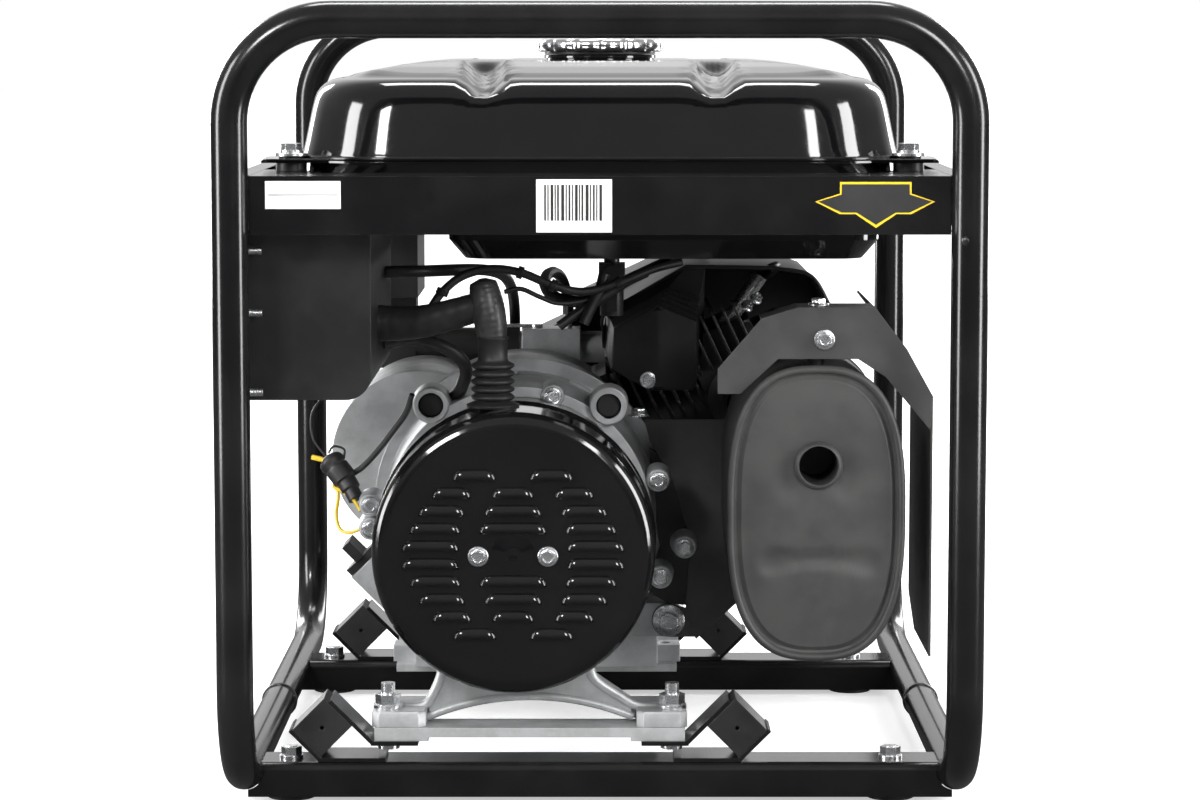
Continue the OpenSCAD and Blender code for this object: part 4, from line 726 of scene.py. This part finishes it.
def tank_dome():
    form = Form()
    rings = []
    for z, inset, corner in TANK_SIDE:
        near_top = max(0.0, min(1.0, (z - 499) / 12))
        rings.append([(x, y, z - valley(x, y) * near_top) for x, y in rounded_plan(-inset, corner)])
    count = len(rings[-1])
    form.rings(rings + top_panel(rings[-1]), True, (False, False))
    form.faces.append([len(form.verts) - count + k for k in range(count)])
    form.rings([[(x, y, z) for x, y in rounded_plan(out, TANK_CORNER + out)] for z, out in TANK_LIP],
               True, (False, False))
    # the bolted tab at each corner of the lip
    for sx in (-1, 1):
        for sy in (-1, 1):
            tab = [(164, 196), (234, 196), (238, 200), (238, 250), (234, 256), (164, 256)]
            form.slab([(sx * x, sy * y) for x, y in tab], 1.5, Matrix.Translation(Vector((0, 0, 455.0))), 0.4)
    piece("tank_dome", form.verts, form.faces, "tank_paint", angle=40, stands_for=("tank_upper_shell",))
    neck = Form().turned([(36, 456), (36, 527), (37, 528), (42, 528), (43, 527), (43, 525.4), (41.5, 525),
                          (41, 519), (46, 516), (50, 515), (52, 514)], Matrix.Identity(4), 64)
    piece("filler_neck", neck.verts, neck.faces, "tank_paint", angle=40)


CAP_LOBES = 14
# (radius, depth of the dents between lobes, height) from the skirt over the rim to the middle
CAP_PROFILE = (
    (42.2, 0, 532.2), (42.6, 0, 530.4), (45.6, 0.4, 530.0), (47.2, 1.2, 530.9), (48.2, 1.7, 532.6),
    (48.6, 1.8, 534.6), (48.4, 1.7, 537.0), (47.4, 1.4, 538.8), (45.4, 0.8, 540.0), (43, 0.2, 540.4),
    (41, 0, 540.1), (39.6, 0, 539.2), (38.6, 0, 538.9), (36.8, 0, 539.6), (35.2, 0, 540.8), (30, 0, 541.2),
    (20, 0, 541.4), (8, 0, 541.4), (0.3, 0, 541.4),
)


def chrome_cap():
    steps = CAP_LOBES * 14
    turn = [2 * math.pi * k / steps for k in range(steps)]
    rings = []
    for r, dent, z in CAP_PROFILE:
        ring = []
        for a in turn:
            rr = r - dent * (0.5 - 0.5 * math.cos(a * CAP_LOBES)) ** 3
            ring.append((rr * math.cos(a), rr * math.sin(a), z))
        rings.append(ring)
    form = Form().rings(rings, True, (False, False))
    piece("chrome_cap", form.verts, form.faces, "cap_chrome", "cap", angle=40, stands_for=("fuel_cap",))


tank_dome()
chrome_cap()


# ---- wiring, boots and sleeves
def ribbed_boot():
    """The moulded boot where the cables leave the alternator."""
    rib = [(11.6, 0), (13.6, 0.5), (15.2, 1.6), (15.6, 2.6), (15.2, 3.6), (13.6, 4.6)]
    profile = [(9.0, 277), (18.5, 279.5), (19.0, 281.5), (15.0, 283.2)]
    for k in range(5):
        profile += [(r, 284.2 + 5.6 * k + rise) for r, rise in rib]
    profile += [(11.2, 312.4), (10.6, 314), (10.5, 327), (11.3, 328), (11.3, 329.6), (9.6, 329.8),
                (0.2, 329.6)]
    form = Form().turned(profile, Matrix.Translation(Vector((SHAFT[0] - 15.2, -235, 0))), 40)
    piece("ribbed_boot", form.verts, form.faces, "black_rubber", angle=50, stands_for=("cable_boot",))


ribbed_boot()


# The runs of the sleeved cables: (radius, sides, points from the control box or the lower end onwards)
SLEEVED_RUNS = (
    (3.1, 12, [(-122, -190, 347), (-114, -188, 358), (-100, -184, 369), (-80, -178, 374), (-58, -172, 371),
               (-34, -166, 361), (-12, -158, 356), (14, -150, 362), (38, -140, 371), (60, -130, 376)]),
    (3.6, 12, [(-30, -150, 330), (-14, -146, 341), (4, -142, 352), (20, -138, 362), (34, -130, 368)]),
    (1.8, 10, [(-70, -160, 356), (-58, -158, 358), (-44, -156, 352), (-30, -152, 347), (-10, -146, 349),
               (4, -140, 358)]),
    (4.2, 12, [(-12, -152, 332), (-6, -150, 345), (0, -148, 357), (3, -146, 368)]),
    (5.0, 12, [(-159, -150, 318), (-136, -146, 320), (-112, -140, 312), (-100, -128, 298), (-104, -104, 280),
               (-112, -72, 268)]),
)
# Clips on the sleeves: a point and the way the sleeve runs there
CLIPS = (
    ((-58, -172, 371), (0.9, 0, -0.3)),
    ((-34, -166, 361), (1, 0, -0.4)),
    ((14, -150, 362), (0.8, 0, 0.35)),
    ((-114, -188, 358), (0.4, 0, 0.9)),
)
SENSOR_SHIFT = Vector((-13, 0, -21))
SENSOR_SWELL = [5.5, 6.5, 8.5, 9.8, 10.2, 10.4, 10.2, 9.6, 9.0, 8.6] + [9.6] * 9 + [7.6] * 6 + [6.0] * 6
YELLOW_RUNS = (
    (2.0, [(-207, -60, 243), (-199, -63, 241.5), (-192, -67, 240)]),
    (1.4, [(-190, -72, 224), (-186, -76, 216), (-187, -84, 202), (-184, -90, 192), (-176, -96, 190),
           (-166, -100, 194)]),
    (1.4, [(-190, -74, 222), (-182, -80, 219), (-174, -86, 214), (-168, -92, 206)]),
)
THIN_RUNS = (
    [(-196, -66, 244), (-206, -62, 258), (-207, -60, 276), (-198, -58, 289), (-186, -56, 297),
     (-170, -56, 304)],
    [(-194, -66, 247), (-190, -66, 252), (-182, -68, 250), (-182, -70, 243)],
)


def wrapped(i):
    """Radius of the taped bundle at its point i: it swells, then tapers to its end."""
    if i < 37:
        return 9.8 + 2.2 * math.sin(math.pi * min(1, i / 36)) + 0.12 * math.sin(i * 1.9)
    return 11.2 - (i - 36) * 2.2


def alternator_cable():
    """The taped bundle that leaves the boot and bends over towards the control box."""
    bundle = Form()
    path = through([(-76.2, -235, 326), (-77.4, -235, 337), (-79.6, -234.4, 350), (-82.0, -233, 362),
                    (-83.6, -232, 371)])
    sweep(bundle, path, [wrapped(i) for i in range(len(path))], 20)
    piece("taped_bundle", bundle.verts, bundle.faces, "cable_sleeve", finish="tape", stands_for=("wiring",))


def cable_sleeves():
    """The thick sleeve from the control box, the thinner sleeved cables and their clips."""
    sleeves = Form()
    path = through([(-159.2, -206, 337), (-146, -209, 337), (-126, -215, 339), (-104, -224, 345),
                    (-86, -231, 351)])
    sweep(sleeves, path, [13.2 - 0.07 * i + 0.1 * math.sin(i * 1.3) for i in range(len(path))], 18)
    for radius, sides, points in SLEEVED_RUNS:
        sweep(sleeves, through(points), radius, sides)
    sweep(sleeves, bent((-159.2, -120, 368), (90, 0, 0), (0, 0, -70), (-71, 200, 292.8)), 4.5, 12)
    sweep(sleeves, bent((133.2, 41, 359.2), (13, 0, 8), (-40, 10, -20), (108, 200, 326)), 3.5, 12)
    piece("cable_sleeves", sleeves.verts, sleeves.faces, "cable_sleeve")
    clips = Form()
    for point, along in CLIPS:
        clips.turned([(3.0, -2.2), (4.6, -2.2), (4.6, 2.2), (3.0, 2.2)], facing(*point, along), 20)
    piece("sleeve_clips", clips.verts, clips.faces, "black_plastic")


def oil_sensor():
    """The oil sensor's connector in its sleeve, with its yellow and thin leads."""
    def shifted(points):
        return through([Vector(p) + SENSOR_SHIFT for p in points])

    wires = Form()
    for radius, points in YELLOW_RUNS:
        sweep(wires, shifted(points), radius, 8)
    piece("sensor_wires", wires.verts, wires.faces, "cable_sleeve", finish="yellow_wire")
    sensor = Form()
    sweep(sensor, shifted([(-194, -68, 243), (-187, -74, 236), (-179, -78, 226), (-172, -84, 214)]),
          SENSOR_SWELL, 14)
    sweep(sensor, through([(-190, -74, 210), (-180, -78, 217), (-168, -82, 230), (-155, -87, 247),
                           (-146, -92, 260), (-141, -97, 274)]), 2.4, 10)
    for points in THIN_RUNS:
        sweep(sensor, shifted(points), 0.9, 8)
    piece("sensor_sleeve", sensor.verts, sensor.faces, "cable_sleeve")


alternator_cable()
cable_sleeves()
oil_sensor()


# ---- cooling cowl, head fins and the web beside the engine
COWL_FRONT = -43.6
COWL_MOUTH = 5.0
COWL_NOSE = [(8, 288.2), (10.2, 319.5), (44.4, 337.9), (74.4, 324.9), (74.4, 277.5), (71, 271.3), (48, 271.3),
             (38, 271.6), (22, 280)]
COWL_REAR = [(3, 300), (4.9, 327.3), (67, 363.4), (82, 362), (80, 300), (77, 290), (56, 285), (45, 286),
             (24, 291)]
COWL_ARCH = [(3, 300), (2.4, 312), (4.9, 327.3), (36, 345.6), (67, 363.4), (98, 363.2), (130, 362.5),
             (154, 360), (163, 357), (170, 350), (177, 337), (180.6, 328.3), (181, 318)]


def cowl_section(share, y, inset=0.0):
    """The nose's outline, share of the way towards its rear one, drawn in by inset."""
    mid = Vector((42, 300))
    ring = []
    for a, b in zip(COWL_NOSE, COWL_REAR):
        p = Vector(a).lerp(Vector(b), share)
        p -= (p - mid).normalized() * inset
        ring.append((p.x, y, p.y))
    return ring


def cowl_nose():
    form = Form()
    rings = [cowl_section(0, COWL_FRONT, 1.6), cowl_section(0, -43.0, 0.5), cowl_section(0, -41.4)]
    for k in range(5):
        rings += [cowl_section(0.10 * k, -33 + 7 * k), cowl_section(0.10 * k + 0.07, -31.6 + 7 * k)]
    rings.append(cowl_section(1.0, COWL_MOUTH))
    form.rings(rings, True, (False, False))
    # the front panel, folded along a rounded upright crease
    face = cowl_section(0, COWL_FRONT, 1.6)
    top, low = face[2], face[6]
    crease = [(dx, -48.6 + 0.05 * dx * dx) for dx in (-4, -2, 0, 2, 4)]
    start = len(form.verts)
    form.verts += face
    form.verts += [(top[0] + dx, y, top[2] - 2.2 - 0.35 * abs(dx)) for dx, y in crease]
    form.verts += [(low[0] - 2 + dx, y, low[2] + 1.6) for dx, y in crease]
    rim = list(range(start, start + len(face)))
    upper = [rim[-1] + 1 + k for k in range(5)]
    lower = [upper[-1] + 1 + k for k in range(5)]
    form.faces.append([*rim[:3], upper[0], lower[0], rim[7], rim[8]])
    form.faces.append([*rim[2:7], lower[4], upper[4]])
    form.faces += [[upper[k], upper[k + 1], lower[k + 1], lower[k]] for k in range(4)]
    form.faces.append([rim[2], *upper[::-1]])
    form.faces.append([rim[7], *lower, rim[6]])
    piece("cowl_nose", form.verts, form.faces, "black_sheet", angle=28, stands_for=("cylinder_hood",))


def cowl_shell():
    """The bent sheet over the engine, the bead along its front edge and its back wall."""
    over = Form()
    over.rings([[(x, y, z) for x, z in COWL_ARCH] for y in (COWL_MOUTH, 30, 60, 90, 120, 150, 167)],
               False, (False, False))
    hood = piece("cowl_arch", over.verts, over.faces, "black_sheet", angle=40)
    hood.modifiers.new("sheet", "SOLIDIFY").thickness = 1.5 * MM
    bead = Form()
    for bend, radius in ((COWL_ARCH[4:], 1.5), (COWL_ARCH[:5], 1.1)):
        sweep(bead, through([(x, COWL_MOUTH, z) for x, z in bend], 6), radius, 10)
    piece("cowl_rolled_edge", bead.verts, bead.faces, "black_sheet", angle=60)
    wall = Form()
    wall.rings([[(x, y, z) for x, z in [*COWL_ARCH, (176, 286), (10, 286)]] for y in (165.4, 166.8)])
    piece("cowl_back", wall.verts, wall.faces, "black_sheet")


CYLINDER_TILT = math.radians(25)
FIN_PITCH = 9
FIN_OUTLINE = ((30, 11), (30, -5), (34, -8), (68, -8), (73, -4), (73, 11))


def head_fins():
    """Seven fins across the leaning cylinder head."""
    lean, rise = math.cos(CYLINDER_TILT), math.sin(CYLINDER_TILT)
    form = Form()
    for k in range(7):
        rings = []
        for half in (-1.1, 1.1):
            s = 160 + FIN_PITCH * k + half
            rings.append([(SHAFT[0] + s * lean - u * rise, y, SHAFT[1] + s * rise + u * lean)
                          for u, y in FIN_OUTLINE])
        form.rings(rings)
    piece("head_fins", form.verts, form.faces, "black_casting", angle=30)


def engine_side_web():
    web = Form()
    outline = [(36, 116), (52, 106), (70, 104), (76, 130), (74, 164), (66, 196), (52, 218), (38, 226),
               (40, 190), (46, 150)]
    web.rings([[(x, y, z) for x, z in outline] for y in (-40.5, -30)])
    piece("engine_side_web", web.verts, web.faces, "black_casting", angle=30)


cowl_nose()
cowl_shell()
head_fins()
engine_side_web()


# ---- bolts and lugs that hold the outer parts
BELL_FACE = -107.0
# Bolted lugs round the bell: (distance from the shaft, angle)
LUGS = ((97, 74.6), (112, 174.5), (112, 183.6), (108.8, 15.8), (126.4, -9.6), (115.4, -22.4))


def round_the_shaft(reach, angle):
    """The (x, z) at a distance and an angle from the shaft."""
    a = math.radians(angle)
    return SHAFT[0] + reach * math.cos(a), SHAFT[1] + reach * math.sin(a)


def bolts():
    """Flanged heads on the silencer's bracket, the cowl, the shield, the bell, the box and the head."""
    near, up = (0, -1, 0), (0, 0, 1)
    form = Form()
    flange_head(form, facing(53, -45.2, 93.2, near), 12.5, 14, 9)
    flange_head(form, facing(37, -46.4, 280, near), 6.5, 8.5, 5)
    flange_head(form, facing(160, -228.4, 327, near), 7.5, 9.5, 5)
    flange_head(form, facing(157, -206, 349.9, up), 7.5, 9.5, 5)
    for reach, angle in LUGS:
        x, z = round_the_shaft(reach, angle)
        flange_head(form, facing(x, BELL_FACE - 0.5, z, near), 6.6, 9, 6)
    for z in (395, 352, 297):
        flange_head(form, facing(-247.2, -303, z, (1, 0, 0)), 5.4, 7.5, 5, 9)
    for x, z in ((121, 338), (114, 332)):
        flange_head(form, facing(x, 2, z, (0.4, -0.5, 0.6)), 5, 7, 5)
    flange_head(form, facing(29, -46, 252, up), 8.5, 10.5, 6)
    piece("flange_bolts", form.verts, form.faces, "zinc_hardware")


def bell_lugs():
    """The lugs that the bell's bolts pass through, and its two hollow bosses with their rubber plugs."""
    away = (0, 1, 0)
    lugs = Form()
    for reach, angle in LUGS:
        x, z = round_the_shaft(reach, angle)
        lugs.turned([(0.2, 0), (7.8, 0), (8.5, 0.8), (8.8, 2), (10.5, 26), (0.2, 26)],
                    facing(x, BELL_FACE, z, away), 28)
    for x, z, mouth in ((-126.7, 267, 12.6), (6.5, 266.5, 13.6)):
        lugs.turned([(9.5, 0), (mouth, 0), (mouth + 0.8, 0.9), (mouth + 1.0, 2), (15, 26), (9.5, 26)],
                    facing(x, -110, z, away), 36)
    piece("bell_lugs", lugs.verts, lugs.faces, "cast_alloy")
    plugs = Form()
    for x, z in ((6.5, 266.5), (-126.7, 267)):
        plugs.turned([(0.2, 0), (8.4, 0), (9.4, 1), (9.4, 14), (0.2, 14)], facing(x, -104, z, away), 30)
    piece("bell_plugs", plugs.verts, plugs.faces, "black_rubber")


def bracket_feet():
    """The cast feet and the raised ribs of the bracket under the alternator."""
    form = Form()
    front, back, soft = -262, -229, 5.0
    for low, high in ((-162.5, -124), (26, 62)):
        middle = (low + high) / 2
        plan = [(low + soft, front), (high - soft, front), (high, front + soft), (high, back), (low, back),
                (low, front + soft)]
        top = [(x + (0.8 if x < middle else -0.8), y + (0.8 if y < -245 else -0.8), 64.3) for x, y in plan]
        form.rings([[(x, y, z) for x, y in plan] for z in (52.8, 62.5)] + [top])
    for leg in (LEFT_LEG, RIGHT_LEG):
        sweep(form, through([(x, BRACKET_FACE, z) for x, z in leg], 8), 3.4, 12)
    arch_x, arch_z, arch_r = ARCH
    along = [-74 + 148 * k / 30 for k in range(31)]
    sweep(form, [(arch_x + x, BRACKET_FACE, arch_z + math.sqrt(arch_r ** 2 - x * x)) for x in along],
          3.0, 12)
    piece("bracket_feet", form.verts, form.faces, "cast_alloy", angle=40)


bracket_feet()


def pulled_rope():
    """The starter's rope, a straight cord swept from its inner end out to its outer end."""
    form = Form()
    inside, outside = ROPE_ENDS
    sweep(form, [(inside + (outside - inside) * k / 60, *ROPE_LINE) for k in range(61)], 2.2, 12)
    rope = piece("pulled_rope", form.verts, form.faces, "rope", body=None, stands_for=("starter_rope",))
    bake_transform(rope)


pulled_rope()
bolts()
bell_lugs()


# ---- welds and stickers on the frame
def welds():
    """Butt welds round the hoops, fillets at the rails' and crossbars' ends, and two bright blobs."""
    form = Form()
    for side in (-1, 1):
        form.turned([(12.4, -3.2), (13.5, -2.4), (14.0, -1.0), (14.1, 0.4), (13.8, 1.8), (12.5, 3.0)],
                    facing(side * 252.3, 0, 21.7, (0, 1, 0)), 40)
        for end in (-1, 1):
            path = [(side * (241.2 + 0.7 * math.sin(z * 1.3)), end * (326.6 + 0.5 * math.sin(z * 2.1)), z)
                    for z in range(409, 446, 3)]
            sweep(form, path, [1.5 + 0.5 * math.sin(i * 2.4) for i in range(len(path))], 8)
            for start in (-267, 136):
                path = [(side * (242.0 + 0.5 * math.sin(y * 1.1)), start + y, 27.0) for y in range(0, 46, 3)]
                sweep(form, path, [1.7 + 0.4 * math.sin(i * 1.7) for i in range(len(path))], 8)
    blob = [(1.0, 0), (3.6, 0.8), (4.4, 2.2), (3.4, 3.8), (0.4, 4.6)]
    form.turned(blob, facing(249, -335.5, 404, (0.1, -1, 0)), 18)
    form.turned([(r * 0.8, h) for r, h in blob], facing(245.5, -332, 400, (0, -1, 0)), 16)
    piece("weld_beads", form.verts, form.faces, "frame_paint", finish="weld_bead", angle=60)


INK_NEAR, INK_FAR = 0.34, 0.26
BAR_RHYTHM = [(1.2, 1.0), (0.8, 1.4), (1.8, 0.9), (0.8, 0.9), (1.2, 1.6), (2.0, 1.0), (0.8, 1.2)]


def sticker(name, outline, finish, lift=0.25):
    """A thin plain sheet on the near rail's face."""
    form = Form()
    form.rings([[(x, RAIL_FACE - y, z) for x, z in outline] for y in (0.02, lift)])
    piece(name, form.verts, form.faces, "frame_paint", finish=finish, angle=20)


def plate(x0, x1, z0, z1):
    return [(x0, z0), (x1, z0), (x1, z1), (x0, z1)]


def white_stickers():
    """Two white stickers: one with a thin rule, one with bars that stand for nothing."""
    sticker("plain_sticker_left", plate(-228, -176.5, 425, 444), "white_label")
    sticker("plain_sticker_middle", plate(-43.5, 8.2, 409, 445.2), "white_label")
    bars = Form()
    x = -38.0
    for width, gap in BAR_RHYTHM * 3:
        if x + width > 3:
            break
        strip = [(x, INK_FAR), (x + width, INK_FAR), (x + width, INK_NEAR), (x, INK_NEAR)]
        bars.rings([[(px, RAIL_FACE - y, z) for px, y in strip] for z in (417.0, 441.5)])
        x += width + gap
    piece("sticker_bars", bars.verts, bars.faces, "frame_paint", finish="label_ink", angle=20)
    rule = Form()
    strip = ((INK_FAR, 434.3), (INK_FAR, 434.8), (INK_NEAR, 434.8), (INK_NEAR, 434.3))
    rule.rings([[(x, RAIL_FACE - y, z) for y, z in strip] for x in (-226, -178.5)])
    piece("sticker_rule", rule.verts, rule.faces, "frame_paint", finish="label_ink", angle=20)


def arrow_sticker():
    """A dark arrow with a yellow edge, without words."""
    middle = (188, 430)
    arrow = [(163.3, 443.4), (163.3, 435.5), (146.4, 430.0), (163.3, 421.5), (174, 421.5), (188, 412.1),
             (202, 421.5), (212, 421.5), (228.1, 430.0), (212, 435.5), (212, 443.4)]
    sticker("arrow_sticker", arrow, "label_yellow")
    inner = [(middle[0] + (x - middle[0]) * 0.95, middle[1] + (z - middle[1]) * 0.88) for x, z in arrow]
    sticker("arrow_sticker_face", inner, "label_ink", 0.4)


welds()
white_stickers()
arrow_sticker()


# ---- stage, light and camera
def soft_panel(name, place, target, width, height, power):
    light = bpy.data.lights.new(name, "AREA")
    light.shape, light.size, light.size_y, light.energy = "RECTANGLE", width, height, power
    made = bpy.data.objects.new(name, light)
    bpy.context.collection.objects.link(made)
    made.location = place
    made.rotation_euler = (Vector(target) - Vector(place)).to_track_quat("-Z", "Y").to_euler()


def pale_floor():
    """A plain pale sheet that glows a little for the camera alone, more with distance, and shows nearly black
    in glossy reflections as painted shade.
    """
    mesh = bpy.data.meshes.new("floor")
    corners = plate(-FLOOR_REACH, FLOOR_REACH, -FLOOR_REACH, FLOOR_REACH)
    mesh.from_pydata([(*corner, FLOOR_Z) for corner in corners], [], [[0, 1, 2, 3]])
    floor = bpy.data.objects.new("floor", mesh)
    bpy.context.collection.objects.link(floor)
    paper = bpy.data.materials.new("pale_paper")
    paper.use_nodes = True
    tree = paper.node_tree
    shader = tree.nodes["Principled BSDF"]
    shader.inputs["Roughness"].default_value = 0.9
    shader.inputs["Specular IOR Level"].default_value = 0.0
    tone = tint(tree, noise(tree, 3.0), (0.86, 0.86, 0.86), (0.9, 0.9, 0.9))
    seen = tree.nodes.new("ShaderNodeLightPath")
    # Painted shade: the floor turns nearly black wherever it is seen in a glossy reflection.
    painted_reflection_shade = maths(tree, "MULTIPLY", seen.outputs["Is Glossy Ray"], 0.9)
    tree.links.new(tint(tree, painted_reflection_shade, tone, (0.0, 0.0, 0.0)), shader.inputs["Base Color"])
    glow = tree.nodes.new("ShaderNodeCombineColor")
    place = tree.nodes.new("ShaderNodeTexCoord")
    far = add(tree, "ShaderNodeVectorMath", operation="LENGTH")
    tree.links.new(place.outputs["Object"], far.inputs[0])
    fade = maths(tree, "ADD", maths(tree, "MULTIPLY", ramp(tree, far.outputs["Value"], 0.45, 1.6), 0.7), 0.5)
    lift = maths(tree, "MULTIPLY", seen.outputs["Is Camera Ray"], fade)
    for socket in glow.inputs[:3]:
        tree.links.new(lift, socket)
    tree.links.new(glow.outputs[0], shader.inputs["Emission Color"])
    shader.inputs["Emission Strength"].default_value = 1.0
    mesh.materials.append(paper)


def white_surround():
    """White to the camera; to everything else dim, with a glow behind the machine and above it."""
    world = bpy.data.worlds.new("studio")
    world.use_nodes = True
    tree = world.node_tree
    seen = tree.nodes["Background"]
    seen.inputs["Color"].default_value = (1.0, 1.0, 1.0, 1)
    seen.inputs["Strength"].default_value = 1.0
    lit = tree.nodes.new("ShaderNodeBackground")
    way = tree.nodes.new("ShaderNodeTexCoord")
    split = tree.nodes.new("ShaderNodeSeparateXYZ")
    tree.links.new(way.outputs["Generated"], split.inputs[0])
    behind = maths(tree, "MULTIPLY", ramp(tree, split.outputs["Y"], 0.45, 0.95), 0.9)
    above = maths(tree, "MULTIPLY", ramp(tree, split.outputs["Z"], 0.02, 0.4), 0.38)
    tree.links.new(maths(tree, "ADD", maths(tree, "ADD", behind, above), 0.12), lit.inputs["Strength"])
    pick = tree.nodes.new("ShaderNodeMixShader")
    path = tree.nodes.new("ShaderNodeLightPath")
    tree.links.new(path.outputs["Is Camera Ray"], pick.inputs[0])
    tree.links.new(lit.outputs[0], pick.inputs[1])
    tree.links.new(seen.outputs[0], pick.inputs[2])
    tree.links.new(pick.outputs[0], tree.nodes["World Output"].inputs[0])
    bpy.context.scene.world = world


MIDDLE = (0, 0, 0.28)
SOFT_PANELS = (  # name, place, target, width, height, power
    ("panel_left", (-1.9, -0.9, 0.7), MIDDLE, 0.5, 1.5, 42),
    ("panel_right", (1.9, -0.9, 0.7), MIDDLE, 0.5, 1.5, 42),
    ("panel_top", (0, 0.5, 2.4), (0, 0, 0.2), 1.4, 0.5, 34),
    ("panel_front_left", (-1.3, -2.4, 1.7), MIDDLE, 0.5, 0.5, 36),
    ("panel_front_right", (1.1, -2.6, 1.3), MIDDLE, 0.5, 0.8, 30),
    ("panel_back_left", (-1.4, 1.9, 0.9), MIDDLE, 0.5, 1.5, 30),
    ("panel_back_right", (1.4, 1.9, 0.9), MIDDLE, 0.5, 1.5, 30),
)


def viewpoint():
    stand_off, eye_height, tilt_down, focal = 2.6768, 0.5428, 6.04, 103.48
    camera = bpy.data.cameras.new("camera")
    camera.sensor_width, camera.lens = 36.0, focal
    camera.clip_end = 60.0
    made = bpy.data.objects.new("camera", camera)
    bpy.context.collection.objects.link(made)
    made.location = (0.0, -stand_off, eye_height)
    made.rotation_euler = (math.radians(90.0 - tilt_down), 0.0, 0.0)
    bpy.context.scene.camera = made
    bpy.context.scene.view_settings.view_transform = "Standard"


pale_floor()
white_surround()
for panel in SOFT_PANELS:
    soft_panel(*panel)
viewpoint()
